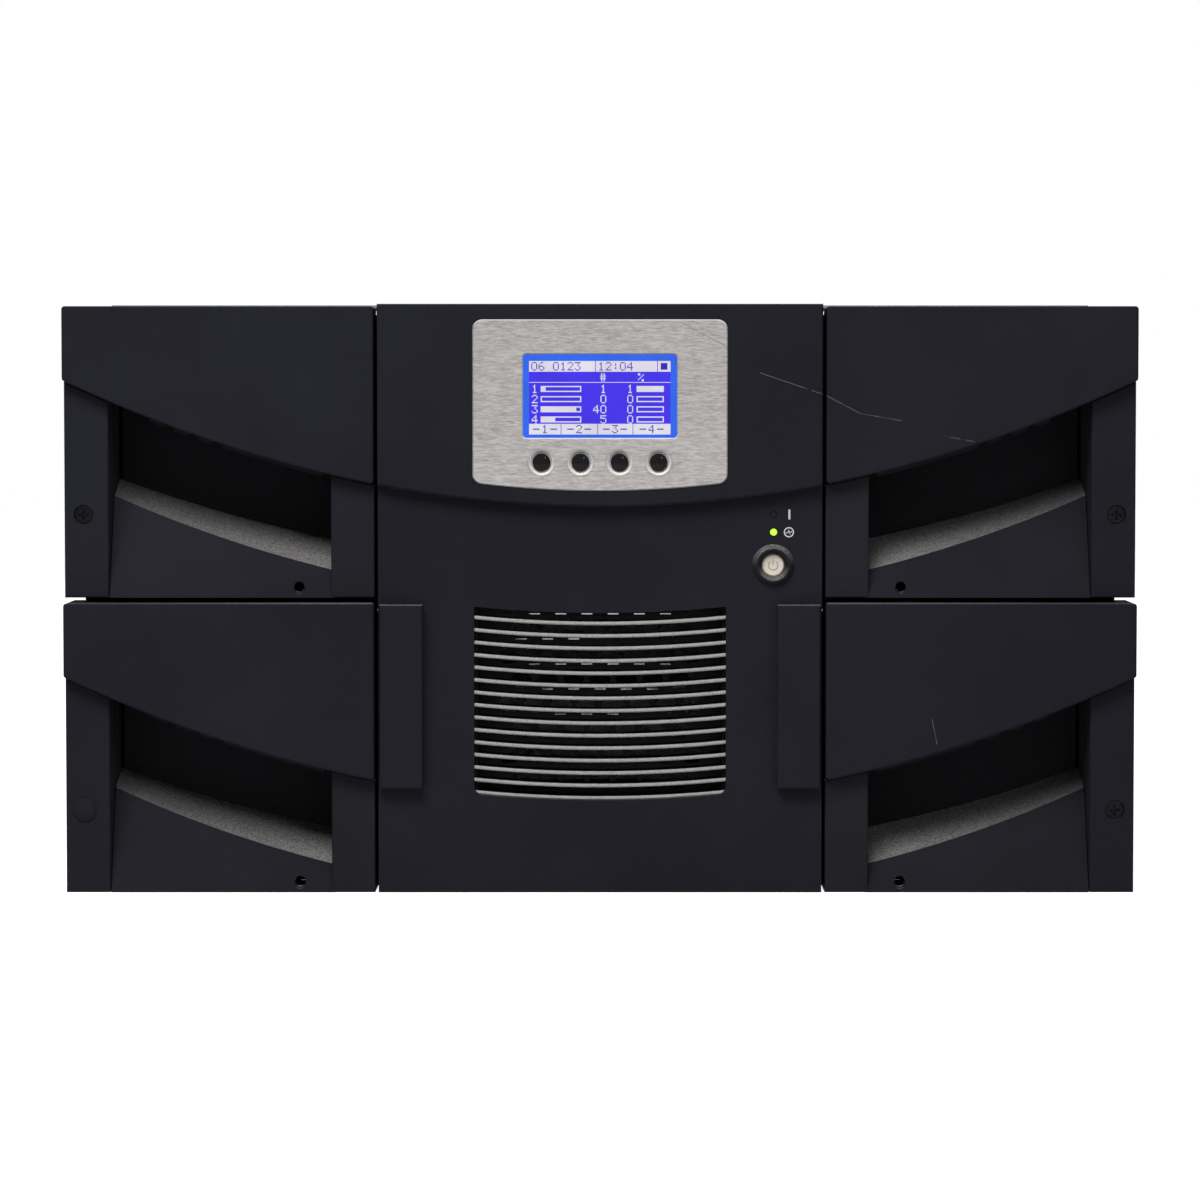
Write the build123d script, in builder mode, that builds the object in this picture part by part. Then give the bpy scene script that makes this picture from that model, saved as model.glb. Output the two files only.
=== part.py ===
"""Rack-mounted data tape library, six rack units high, as an assembly of separate pieces.

X runs to the right and Y to the back as one faces the front, Z runs up. The origin is on the
floor of the chassis, below the middle of the whole unit. All sizes are in millimetres.
"""

from math import cos, hypot, radians, sin, sqrt, tan
import os

from build123d import *

os.makedirs("parts", exist_ok=True)

# Envelope and stock
RACK_UNIT = 44.45
PANEL_WIDTH = 482.6
DEPTH = 800.0
EAR_REACH = 18.8
HEIGHT_GAP = 1.2
SHEET = 1.2
MOULD_WALL = 3.0

# Clearances
FACE_GAP = 0.4
GLIDE_GAP = 0.25
SLOT_GAP = 0.1
FIT = 0.1

# Front: hoods stand proud of the ear covers, columns and lower field by HOOD_STEP
FLANGE_SET = 35.0
HOOD_STEP = 6.5
HOOD_ROUND = 1.2
HOOD_CORNER = 1.5
HOOD_DROP_OUTER = 33.1
HOOD_DROP_INNER = 79.8
HOOD_ARC_RADIUS = 600.0
BEZEL_LIFT = 0.1
BEZEL_GAP = 2.35
CENTRE_WIDTH = 200.0
SEAM = 1.6
LIP_DEPTH = 12.0
RIB_WALL = 3.0
RIB_HEIGHT = 31.0
RIB_TOP_GAP = 4.0
GRIP_SET = 7.5
GRIP_WALL = 3.0
GRIP_DROP = 1.8
GRIP_TOOTH = 6.3
GRIP_PITCH = 10.8
GRIP_START = 39.0
GRIP_TEETH = 3
GRIP_END = 3.8

# Finger scoop below each hood
INNER_COLUMN = 19.5
SCOOP_DEPTH = 50.0
SCOOP_DROP = 43.0
RAMP_ANGLE = 25.0
LEDGE_ANGLE = 18.0
COLUMN_ROUND = 0.8
RELEASE_RADIUS = 2.4
RELEASE_RIM = 0.7
RELEASE_HEIGHT = 4.8
RELEASE_X = 135.6

# Rack ears
EAR_INSET = 0.2
EAR_WALL = 2.5
RACK_HOLE_INSET = 8.75
RACK_HOLE_HEIGHT = 38.1
SCREW_RADIUS = 3.0
SCREW_NECK_RADIUS = 2.6
SCREW_HOLE_GAP = 0.3
SCREW_HEAD_RADIUS = 4.1
SCREW_HEAD = 3.0
SCREW_SINK = 1.5
SCREW_REACH = 14.0
CROSS_SPAN = 4.6
CROSS_WIDTH = 1.1
CROSS_DEPTH = 1.6
BOSS_RADIUS = 7.0
CAP_RADIUS = 5.0
CAP_RIM = 0.8
CAP_DOME = 1.6

# Centre panel
BROW_EDGE_DROP = 81.4
BROW_SAG = 9.6
BROW_ROUND = 1.2
TAB_WIDTH = 19.4
TAB_INSET = 0.8
TAB_BOTTOM = 47.6
TAB_TOP = 130.4
PLATE_WIDTH = 114.4
PLATE_DROP = 7.0
PLATE_HEIGHT = 73.2
PLATE_SAG = 3.6
PLATE_CORNER = 4.5
PLATE_SHEET = 2.0
PLATE_PROUD = 0.8
PLATE_EASE = 0.5
LCD_WIDTH = 69.0
LCD_HEIGHT = 37.4
LCD_DROP = 22.6
LCD_CORNER = 1.5
LCD_RIM = 5.0
LCD_BODY = 7.0
PANE_SHEET = 0.8
PANE_SINK = 0.6
KEY_COUNT = 4
KEY_PITCH = 17.5
KEY_DROP = 71.0
KEY_RADIUS = 4.0
KEY_PROUD = 1.0
KEY_DOME = 0.9
KEY_SINK_RADIUS = 5.75
KEY_SINK_DEPTH = 0.7
KEY_FLANGE = 1.2
KEY_FLANGE_RIM = 1.2
KEY_TRAVEL = 1.0
POWER_X = 78.0
POWER_Z = 148.0
POWER_RING_RADIUS = 9.6
POWER_RIM_RADIUS = 7.6
POWER_FUNNEL_RADIUS = 5.2
POWER_RING_PROUD = 2.6
POWER_RADIUS = 4.8
LAMP_X = 78.2
LAMP_Z = 163.0
LAMP_PITCH = 8.0
LAMP_RADIUS = 1.55
LAMP_LENGTH = 8.0
BOSS_INSET = 8.0

# Vent grille and the perforated sheet behind it
VENT_WIDTH = 113.6
VENT_TOP = 129.4
VENT_BOTTOM = 44.7
VENT_SAG = 2.8
VENT_CORNER = 4.0
LOUVRE_COUNT = 15
LOUVRE_SHEET = 1.6
LOUVRE_DEPTH = 13.0
LOUVRE_SET = 0.6
LOUVRE_EASE = 0.5
GRILLE_RAIL = 4.0
HEX_SIDE = 5.0
HEX_PITCH = 12.0
HEX_ROW = 11.5
HEX_MARGIN = 3.0

# Magazines, with CELL_WIDTH along the unit's depth
CELL_WIDTH = 110.0
CELL_HEIGHT = 22.6
CELL_WALL = 2.0
TIERS = 5
MAG_INNER = 108.5
MAG_SIDE_GAP = 1.8
MAG_PLATE = 3.0
MAG_SPINE = 2.0
CELLS_START = 73.0
BAY_WALL_GAP = 6.0
AISLE_WALL_GAP = 2.1
RUNNER_HEIGHT = 1.6
RUNNER_WIDTH = 9.0
RUNNER_LIP = 8.0
RUNNER_LIP_GAP = 0.7

# Magazine latches, a flat pawl on the bay floor below each front
LATCH_WIDTH = 14.0
LATCH_SHEET = 1.2
LATCH_PIVOT = 40.0
LATCH_LENGTH = 22.0
LATCH_LIFT = 0.3
LATCH_PIN_RADIUS = 0.45
LATCH_EAR = 2.0
LATCH_NOTCH = 9.5

# Robot in the aisle
ROD_RADIUS = 4.0
ROD_X = 99.5
RAIL_OUTER = 98.0
RAIL_WIDTH = 8.0
RAIL_HEIGHT = 10.0
ROBOT_LIFT = 0.8
FRAME_BAR = 7.0
BLOCK_SIZE = 12.0
LIFT_SCREW_RADIUS = 4.0
LIFT_SCREW_X = 76.0
LIFT_SCREW_SET = 14.0
NUT_RADIUS = 10.0
LIFT_MOTOR_RADIUS = 12.0
LIFT_MOTOR_GAP = 2.0
CARRIAGE_SHEET = 2.0
CARRIAGE_GAP = 1.2
HANGER_WIDTH = 12.0
HANGER_WALL = 3.4
HUB_RADIUS = 12.0
PICKER_WIDTH = 112.0
PICKER_LENGTH = 122.0
PICKER_WALL = 2.5
PICKER_FLOOR = 2.0
PICKER_SLOT = 60.0
GRIPPER_WIDTH = 100.0
GRIPPER_LENGTH = 24.0
GRIPPER_HEIGHT = 17.0
FINGER_LENGTH = 22.0
FINGER_WALL = 4.0
FINGER_HEIGHT = 7.0
FINGER_SPREAD = 40.0
FINGER_LIFT = 7.5
BELT_WIDTH = 5.0
BELT_SHEET = 1.0
BELT_RADIUS = 5.0
PULLEY_GAP = 0.3
PULLEY_SHAFT_RADIUS = 1.5
TRAVEL_MOTOR_LENGTH = 26.0
TRAVEL_MOTOR_WIDTH = 16.0

# Rear modules
REAR_SET = 14.8
FACE_SHEET = 1.5
FACE_LAP = 3.0
BAY_COUNT = 5
BAY_PITCH = 48.0
BAY_START = 12.0
SLED_WIDTH = 168.0
SLED_HEIGHT = 44.0
SLED_MARGIN = 5.0
SLED_WALL = 30.0
DRIVE_WIDTH = 146.0
DRIVE_HEIGHT = 41.0
DRIVE_LENGTH = 205.0
DRIVE_SLOT_WIDTH = 106.0
DRIVE_SLOT_HEIGHT = 23.0
DRIVE_SLOT_DEPTH = 40.0
HANDLE_BAR = 5.0
SLED_HANDLE = 60.0
SAS_WIDTH = 14.0
SAS_HEIGHT = 6.0
SAS_DEPTH = 12.0
SAS_X = 55.0
MODULE_SIDE_GAP = 6.85
SUPPLY_HEIGHT = 86.0
SUPPLY_LENGTH = 200.0
SUPPLY_START = 26.0
SUPPLY_PITCH = 104.0
FAN_RADIUS = 28.0
FAN_POCKET = 22.0
FAN_OFFSET = 18.0
FAN_HUB_RADIUS = 10.0
FAN_BLADE_ROOT = 2.0
FAN_BLADES = 7
FAN_BLADE_SHEET = 1.6
FAN_BLADE_WIDTH = 15.0
FAN_PITCH = 42.0
FAN_WIDTH = 14.0
FAN_TIP_GAP = 1.0
FAN_PIN_RADIUS = 2.0
SPIDER_BAR = 3.0
GUARD_WIRE = 1.6
GUARD_RINGS = 3
INLET_X = 30.0
INLET_DROP = 22.0
INLET_WIDTH = 27.0
INLET_HEIGHT = 20.0
INLET_RIM = 3.0
INLET_DEPTH = 15.0
INLET_CORNER = 5.0
INLET_PIN_PITCH = 7.0
INLET_PIN_WIDTH = 2.0
INLET_PIN_HEIGHT = 4.0
INLET_PIN_STEP = 4.0
SUPPLY_HANDLE = 28.0
SUPPLY_HANDLE_RISE = 16.0
CONTROL_HEIGHT = 170.0
CONTROL_LENGTH = 160.0
CONTROL_START = 30.0
JACK_WIDTH = 11.8
JACK_HEIGHT = 8.2
JACK_DEPTH = 14.0
JACK_PITCH = 22.0
JACK_DROP = 30.0
SLOT_LENGTH = 60.0
SLOT_WIDTH = 4.0
SLOT_PITCH = 10.0
SLOT_ROWS = 8
THUMB_RADIUS = 4.0
THUMB_LENGTH = 8.0

# Top cover screws
COVER_FLANGE = 12.0
COVER_SCREWS = 4
COVER_SCREW_RADIUS = 1.5

# Places that follow from the driving dimensions
UNIT_HEIGHT = 6 * RACK_UNIT - HEIGHT_GAP
MODULE_PITCH = 3 * RACK_UNIT
BEZEL_HEIGHT = MODULE_PITCH - BEZEL_GAP
FRONT = -DEPTH / 2 + PLATE_PROUD + KEY_PROUD
REAR = DEPTH / 2
HALF_PANEL = PANEL_WIDTH / 2
HALF_CHASSIS = HALF_PANEL - EAR_REACH
INNER_WALL = HALF_CHASSIS - SHEET
COVER_UNDER = UNIT_HEIGHT - SHEET
HALF_CENTRE = CENTRE_WIDTH / 2
RACK_HOLE_X = HALF_PANEL - RACK_HOLE_INSET
HOOD_INNER = HALF_CENTRE + SEAM
HOOD_DEPTH = FLANGE_SET - FACE_GAP
SCOOP_INNER = HOOD_INNER + INNER_COLUMN
PULL_OUTER = INNER_WALL - FACE_GAP
MAG_OUTER = INNER_WALL - MAG_SIDE_GAP
MAG_LIFT = SHEET + RUNNER_HEIGHT + GLIDE_GAP
CELL_PITCH = CELL_HEIGHT + CELL_WALL
COLUMN_PITCH = CELL_WIDTH + CELL_WALL
MAG_HEIGHT = TIERS * CELL_PITCH + CELL_WALL
PANEL_BACK = REAR - REAR_SET - FRONT
SLED_LENGTH = DRIVE_LENGTH + SAS_DEPTH + SLED_MARGIN
SLED_FRONT = PANEL_BACK - SLED_LENGTH
PICKER_SWEEP = hypot(PICKER_WIDTH, PICKER_LENGTH) / 2 + FACE_GAP
FIRST_COLUMN = CELLS_START + CELL_WALL + CELL_WIDTH / 2
CARRIAGE_LENGTH = 2 * (PICKER_SWEEP - TRAVEL_MOTOR_LENGTH - CARRIAGE_GAP)
COLUMNS = 1 + int((SLED_FRONT - PICKER_SWEEP - FRAME_BAR - FIRST_COLUMN) // COLUMN_PITCH)
LAST_COLUMN = FIRST_COLUMN + (COLUMNS - 1) * COLUMN_PITCH
MAG_END = CELLS_START + COLUMNS * COLUMN_PITCH + CELL_WALL
BAY_WALL_SET = MAG_END + BAY_WALL_GAP
FRAME_START = FIRST_COLUMN - PICKER_SWEEP - FRAME_BAR
FRAME_END = LAST_COLUMN + PICKER_SWEEP + FRAME_BAR
AISLE_WALL = MAG_INNER - AISLE_WALL_GAP
RAIL_INNER = RAIL_OUTER - RAIL_WIDTH
MODULE_WIDTH = INNER_WALL - AISLE_WALL - SHEET - 2 * MODULE_SIDE_GAP
ROBOT_Z = SHEET + ROBOT_LIFT
RAIL_TOP = ROBOT_Z + RAIL_HEIGHT
ROBOT_RISE = MODULE_PITCH + (TIERS - 1) * CELL_PITCH
LATCH_RISE = SHEET + LATCH_LIFT + LATCH_SHEET / 2
SIDES = {"left": -1, "right": 1}
LEVELS = {"lower": 0.0, "upper": MODULE_PITCH}


def at(set_back):
    """The Y of a plane that lies set_back behind the hoods' front."""
    return FRONT + set_back


def face_plane(set_back):
    """A plane that faces the front, with X to the right and Z up in its sketch."""
    return Plane.XZ.offset(-at(set_back))


def block(x0, x1, y0, y1, z0, z1, mode=Mode.ADD):
    """A box between two corners, in the part that is being built."""
    with Locations(((x0 + x1) / 2, (y0 + y1) / 2, (z0 + z1) / 2)):
        Box(abs(x1 - x0), abs(y1 - y0), abs(z1 - z0), mode=mode)


def rod(radius, x, z, y0, y1, mode=Mode.ADD):
    """A round bar along Y, in the part that is being built."""
    with Locations((x, (y0 + y1) / 2, z)):
        Cylinder(radius, abs(y1 - y0), rotation=(90, 0, 0), mode=mode)


def post(radius, x, y, z0, z1, mode=Mode.ADD):
    """A round bar along Z, in the part that is being built."""
    with Locations((x, y, (z0 + z1) / 2)):
        Cylinder(radius, abs(z1 - z0), mode=mode)


def panel_rect(x0, x1, z0, z1, mode=Mode.ADD):
    """A rectangle between two corners, in the sketch that is being drawn."""
    with Locations(((x0 + x1) / 2, (z0 + z1) / 2)):
        Rectangle(abs(x1 - x0), abs(z1 - z0), mode=mode)


def dome(radius, rise, crown):
    """Three points of a round dome's profile, from its crown on the axis to its rim."""
    ball = (radius**2 + rise**2) / (2 * rise)
    shoulder = crown + ball - sqrt(ball**2 - (radius / 2) ** 2)
    return (0, crown), (radius / 2, shoulder), (radius, crown + rise)


def finish(builder, name):
    builder.part.label = name
    export_step(builder.part, f"parts/{name}.step")


# Chassis: a folded tray with rack flanges, its cover, bulkheads, shelves and runners


def latch_ears(side, floor):
    """Bent-up ears that carry a latch pawl's pins on a bay floor."""
    for edge in (-1, 1):
        inner = side * RELEASE_X + edge * (LATCH_WIDTH / 2 + FACE_GAP)
        y0 = at(LATCH_PIVOT) - LATCH_EAR
        y1 = at(LATCH_PIVOT) + LATCH_EAR
        top = floor + LATCH_RISE - SHEET + LATCH_SHEET / 2
        block(inner, inner + edge * LATCH_EAR, y0, y1, floor, top)
    with Locations((side * RELEASE_X, at(LATCH_PIVOT), floor + LATCH_RISE - SHEET)):
        Cylinder(
            LATCH_PIN_RADIUS + FIT,
            LATCH_WIDTH + 4 * LATCH_EAR,
            rotation=(0, 90, 0),
            mode=Mode.SUBTRACT,
        )


def rack_holes():
    """X and Z of the four rack screws."""
    height = RACK_HOLE_HEIGHT - HEIGHT_GAP / 2
    return [
        (side * RACK_HOLE_X, base + height)
        for side in SIDES.values()
        for base in LEVELS.values()
    ]


def cover_screw_places():
    """X and Y of the screws along the two sides of the top cover."""
    start = at(FLANGE_SET + COVER_FLANGE)
    step = (PANEL_BACK - FLANGE_SET - 2 * COVER_FLANGE) / (COVER_SCREWS - 1)
    return [
        (side * (INNER_WALL - COVER_FLANGE / 2), start + index * step)
        for side in SIDES.values()
        for index in range(COVER_SCREWS)
    ]


with BuildPart() as chassis_tray:
    with BuildSketch(face_plane(FLANGE_SET)):
        panel_rect(-HALF_CHASSIS, HALF_CHASSIS, 0, COVER_UNDER)
        panel_rect(-INNER_WALL, INNER_WALL, SHEET, COVER_UNDER - SHEET, mode=Mode.SUBTRACT)
        lip = INNER_WALL - COVER_FLANGE
        panel_rect(-lip, lip, COVER_UNDER - SHEET, COVER_UNDER, mode=Mode.SUBTRACT)
    extrude(amount=-(PANEL_BACK - FLANGE_SET))
    with BuildSketch(face_plane(FLANGE_SET)):
        for side in SIDES.values():
            for base in LEVELS.values():
                bottom = base + BEZEL_LIFT
                flange_top = bottom + BEZEL_HEIGHT - SHEET
                panel_rect(side * INNER_WALL, side * HALF_PANEL, bottom, flange_top)
        with Locations(*rack_holes()):
            Circle(SCREW_RADIUS + SCREW_HOLE_GAP, mode=Mode.SUBTRACT)
    extrude(amount=-SHEET)
    for side in SIDES.values():
        latch_ears(side, SHEET)
    for x, y in cover_screw_places():
        post(COVER_SCREW_RADIUS + FIT, x, y, COVER_UNDER - SHEET, COVER_UNDER, mode=Mode.SUBTRACT)
finish(chassis_tray, "chassis_tray")

with BuildPart() as top_cover:
    block(-HALF_CHASSIS, HALF_CHASSIS, at(FLANGE_SET), at(PANEL_BACK), COVER_UNDER, UNIT_HEIGHT)
    with Locations(*[(x, y, UNIT_HEIGHT) for x, y in cover_screw_places()]):
        CounterSinkHole(
            COVER_SCREW_RADIUS + FIT, COVER_SCREW_RADIUS + FIT + SHEET / 2, SHEET, 90
        )
finish(top_cover, "top_cover")

with BuildPart() as cover_screws:
    with BuildSketch(Plane.XZ):
        with BuildLine():
            Polyline(
                (0, 0),
                (COVER_SCREW_RADIUS + SHEET / 2, 0),
                (COVER_SCREW_RADIUS, -SHEET / 2),
                (COVER_SCREW_RADIUS, -2 * SHEET),
                (0, -2 * SHEET),
                close=True,
            )
        make_face()
    cover_screw = revolve(axis=Axis.Z, mode=Mode.PRIVATE)
    with Locations(*[(x, y, UNIT_HEIGHT) for x, y in cover_screw_places()]):
        add(cover_screw)
finish(cover_screws, "cover_screws")

# Hex holes of the sheet behind the grille, staggered row by row
hex_rows = int((VENT_TOP - VENT_BOTTOM) // HEX_ROW) + 1
hex_columns = int((VENT_WIDTH - 2 * HEX_MARGIN) // HEX_PITCH)
with BuildPart() as front_bulkhead:
    with BuildSketch(face_plane(FLANGE_SET)):
        panel_rect(-AISLE_WALL, AISLE_WALL, SHEET, COVER_UNDER)
        for row in range(hex_rows):
            count = hex_columns - row % 2
            row_z = VENT_TOP - row * HEX_ROW
            with Locations((0, row_z)):
                with GridLocations(HEX_PITCH, HEX_ROW, count, 1):
                    RegularPolygon(HEX_SIDE, 6, mode=Mode.SUBTRACT)
    extrude(amount=-SHEET)
finish(front_bulkhead, "front_bulkhead")

with BuildPart() as rear_bay_walls:
    for side in SIDES.values():
        with BuildSketch(Plane.XY.offset(SHEET)):
            outer = side * INNER_WALL
            inner = side * AISLE_WALL
            panel_rect(outer, inner, at(BAY_WALL_SET), at(BAY_WALL_SET) + SHEET)
            panel_rect(inner, inner + side * SHEET, at(BAY_WALL_SET), at(PANEL_BACK) - SHEET)
        extrude(amount=COVER_UNDER - 2 * SHEET)
finish(rear_bay_walls, "rear_bay_walls")

for word, side in SIDES.items():
    with BuildPart() as bay_shelf:
        floor = MODULE_PITCH
        inner = side * AISLE_WALL
        block(
            side * INNER_WALL, inner, at(FLANGE_SET), at(BAY_WALL_SET), floor, floor + SHEET
        )
        latch_ears(side, floor + SHEET)
    finish(bay_shelf, f"bay_shelf_{word}")

with BuildPart() as magazine_runners:
    for side in SIDES.values():
        for base in LEVELS.values():
            floor = base + SHEET
            top = floor + RUNNER_HEIGHT
            y0 = at(CELLS_START)
            y1 = at(BAY_WALL_SET)
            outer = side * (MAG_OUTER - MAG_SPINE)
            block(outer, outer - side * RUNNER_WIDTH, y0, y1, floor, top)
            inner = side * MAG_INNER
            with BuildSketch(Plane.XZ.offset(-y0)):
                panel_rect(inner, inner + side * RUNNER_WIDTH, floor, top)
                guide = inner - side * RUNNER_LIP_GAP
                panel_rect(guide, guide - side * SHEET, floor, top + RUNNER_LIP)
                panel_rect(guide, inner, floor, top)
            extrude(amount=-(y1 - y0))
finish(magazine_runners, "magazine_runners")


# Rack ears: moulded covers in front of the flanges, and the screws that hold the unit in its rack


def hood_edge(x):
    """Height of a hood's arched lower edge above the bezel's bottom, x from the middle of the unit."""
    x0, z0 = HALF_PANEL, BEZEL_HEIGHT - HOOD_DROP_OUTER
    x1, z1 = HOOD_INNER, BEZEL_HEIGHT - HOOD_DROP_INNER
    half_chord = hypot(x0 - x1, z0 - z1) / 2
    rise = sqrt(HOOD_ARC_RADIUS**2 - half_chord**2)
    middle_x = (x0 + x1) / 2 - rise * (z0 - z1) / (2 * half_chord)
    middle_z = (z0 + z1) / 2 + rise * (x0 - x1) / (2 * half_chord)
    return middle_z - sqrt(HOOD_ARC_RADIUS**2 - (x - middle_x) ** 2)


def hood_shape(side, base):
    """Front shape of a hood before its corners are rounded, its lower edge one long arc."""
    top = base + BEZEL_HEIGHT
    outer = (side * HALF_PANEL, base + hood_edge(HALF_PANEL))
    middle_x = (HALF_PANEL + HOOD_INNER) / 2
    middle = (side * middle_x, base + hood_edge(middle_x))
    inner = (side * HOOD_INNER, base + hood_edge(HOOD_INNER))
    with BuildSketch() as outline:
        with BuildLine():
            ThreePointArc(outer, middle, inner)
            Polyline(inner, (inner[0], top), (outer[0], top), outer)
        make_face()
    return outline.sketch_local


def hood_clearance(side, base):
    """The shape of a hood, grown by the gap that its neighbours keep."""
    with BuildSketch() as clearance:
        add(hood_shape(side, base))
        offset(amount=FACE_GAP, kind=Kind.INTERSECTION)
    return clearance.sketch_local


ear_inner = INNER_WALL
ear_outer = HALF_PANEL - EAR_INSET
for word, side in SIDES.items():
    with BuildPart() as ear_covers:
        for base in LEVELS.values():
            bottom = base + BEZEL_LIFT
            hole = (side * RACK_HOLE_X, base + RACK_HOLE_HEIGHT - HEIGHT_GAP / 2)
            keep_out = hood_clearance(side, bottom)
            with BuildSketch(face_plane(HOOD_STEP)):
                panel_rect(side * ear_inner, side * ear_outer, bottom, bottom + BEZEL_HEIGHT)
                add(keep_out, mode=Mode.SUBTRACT)
            ear = extrude(amount=-(FLANGE_SET - HOOD_STEP))
            fillet(ear.faces().sort_by(Axis.Y)[0].edges(), COLUMN_ROUND)
            with BuildSketch(face_plane(HOOD_STEP + EAR_WALL)):
                panel_rect(
                    side * (ear_inner + EAR_WALL),
                    side * (ear_outer - EAR_WALL),
                    bottom + EAR_WALL,
                    bottom + hood_edge(ear_inner) - 2 * EAR_WALL,
                )
                with Locations(hole):
                    Circle(BOSS_RADIUS, mode=Mode.SUBTRACT)
            extrude(amount=-(FLANGE_SET - HOOD_STEP - EAR_WALL), mode=Mode.SUBTRACT)
            seat = at(HOOD_STEP) + SCREW_SINK + SCREW_HEAD
            head_bore = SCREW_HEAD_RADIUS + SCREW_HOLE_GAP
            rod(head_bore, *hole, at(HOOD_STEP), seat, mode=Mode.SUBTRACT)
            rod(SCREW_RADIUS + SCREW_HOLE_GAP, *hole, seat, at(FLANGE_SET), mode=Mode.SUBTRACT)
    finish(ear_covers, f"ear_covers_{word}")

with BuildPart() as rack_screws:
    for x, z in rack_holes():
        head = at(HOOD_STEP) + SCREW_SINK
        rod(SCREW_HEAD_RADIUS, x, z, head, head + SCREW_HEAD)
        for wide, tall in ((CROSS_SPAN, CROSS_WIDTH), (CROSS_WIDTH, CROSS_SPAN)):
            left, low = x - wide / 2, z - tall / 2
            block(left, left + wide, head, head + CROSS_DEPTH, low, low + tall, mode=Mode.SUBTRACT)
        thread = at(FLANGE_SET) + SHEET + FACE_GAP
        rod(SCREW_NECK_RADIUS, x, z, head + SCREW_HEAD, thread)
        rod(SCREW_RADIUS, x, z, thread, at(FLANGE_SET) + SHEET + SCREW_REACH)
finish(rack_screws, "rack_screws")

with BuildPart() as screw_cap:
    cap_x, cap_z = rack_holes()[0]
    cap_plane = Plane((cap_x, at(HOOD_STEP), cap_z), x_dir=(1, 0, 0), z_dir=(0, 0, 1))
    with BuildSketch(cap_plane):
        with BuildLine():
            crown = -CAP_RIM - CAP_DOME
            ThreePointArc(*dome(CAP_RADIUS, CAP_DOME, crown))
            Polyline(
                (CAP_RADIUS, -CAP_RIM),
                (CAP_RADIUS, 0),
                (SCREW_HEAD_RADIUS, 0),
                (SCREW_HEAD_RADIUS, SCREW_SINK),
                (0, SCREW_SINK),
                (0, crown),
            )
        make_face()
    revolve(axis=Axis((cap_x, at(HOOD_STEP), cap_z), (0, 1, 0)))
finish(screw_cap, "screw_cap")


# Magazine fronts: a hood over a finger scoop, and the cells that slide with them


def grip_bands(side):
    """The stretches of the hood's edge that carry the grip: a few teeth and a long bar."""
    outer = HALF_PANEL - GRIP_START
    spans = [(outer - index * GRIP_PITCH, GRIP_TOOTH) for index in range(GRIP_TEETH)]
    bar = outer - GRIP_TEETH * GRIP_PITCH
    spans.append((bar, bar - SCOOP_INNER - GRIP_END))
    with BuildSketch() as bands:
        for start, length in spans:
            panel_rect(side * start, side * (start - length), -UNIT_HEIGHT, 2 * UNIT_HEIGHT)
    return bands.sketch_local


def make_hood(name, side, base):
    """A hooded moulding, open at the back and, behind its lip, below."""
    with BuildSketch() as rounded:
        add(hood_shape(side, base))
        fillet(rounded.vertices(), HOOD_CORNER)
    outline = rounded.sketch_local
    bands = grip_bands(side)
    top = base + BEZEL_HEIGHT
    with BuildPart() as hood:
        with BuildSketch(face_plane(0)):
            add(outline)
        extrude(amount=-HOOD_DEPTH)
        fillet(hood.faces().sort_by(Axis.Y)[0].edges(), HOOD_ROUND)
        with BuildSketch(face_plane(MOULD_WALL)):
            add(outline)
            offset(amount=-MOULD_WALL)
        extrude(amount=-(HOOD_DEPTH - MOULD_WALL), mode=Mode.SUBTRACT)
        block(
            side * (SCOOP_INNER + MOULD_WALL),
            side * (HALF_CHASSIS - MOULD_WALL),
            at(LIP_DEPTH),
            at(HOOD_DEPTH),
            base,
            base + hood_edge(HALF_CHASSIS),
            mode=Mode.SUBTRACT,
        )
        with BuildSketch(face_plane(GRIP_SET)):
            with Locations((0, -GRIP_DROP)):
                add(outline)
            with Locations((0, MOULD_WALL / 2)):
                add(outline, mode=Mode.SUBTRACT)
            add(bands, mode=Mode.INTERSECT)
        extrude(amount=-GRIP_WALL)
        rib_top = top - RIB_TOP_GAP
        for place in (0, 0.5, 1):
            near = MAG_INNER + RIB_WALL
            rib = side * (near + place * (MAG_OUTER - near - 2 * RIB_WALL))
            far = rib + side * RIB_WALL
            block(rib, far, at(MOULD_WALL / 2), at(SCOOP_DEPTH), rib_top - RIB_HEIGHT, rib_top)
            block(rib, far, at(MOULD_WALL / 2), at(HOOD_DEPTH), rib_top, top - MOULD_WALL / 2)
    finish(hood, name)


def scoop_wedge(side, base, inner, outer):
    """The body of a scoop: a ramp that leans back from the bottom edge up to an arched crease,
    and a ledge that rises from the crease to the back."""
    ramp = radians(RAMP_ANGLE)
    ledge = radians(LEDGE_ANGLE)
    reach = SCOOP_DEPTH - HOOD_STEP
    low_edge = (0, at(HOOD_STEP), base)
    ramp_plane = Plane(low_edge, x_dir=(1, 0, 0), z_dir=(0, -cos(ramp), sin(ramp)))
    middle = (inner + outer) / 2
    points = [
        (side * x, (hood_edge(x) - SCOOP_DROP) / cos(ramp)) for x in (outer, middle, inner)
    ]
    above = 2 * BEZEL_HEIGHT
    with BuildPart() as wedge:
        with BuildSketch(Plane.YZ.offset(side * inner)):
            with BuildLine():
                Polyline(
                    (at(HOOD_STEP), base),
                    (at(SCOOP_DEPTH), base),
                    (at(SCOOP_DEPTH), base + reach / tan(ramp)),
                    close=True,
                )
            make_face()
        extrude(amount=side * (outer - inner))
        with BuildSketch(ramp_plane):
            with BuildLine():
                ThreePointArc(*points)
                Polyline(points[2], (points[2][0], above), (points[0][0], above), points[0])
            make_face()
        extrude(amount=2 * SCOOP_DEPTH, dir=(0, cos(ledge), sin(ledge)), mode=Mode.SUBTRACT)
    return wedge.part


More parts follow.
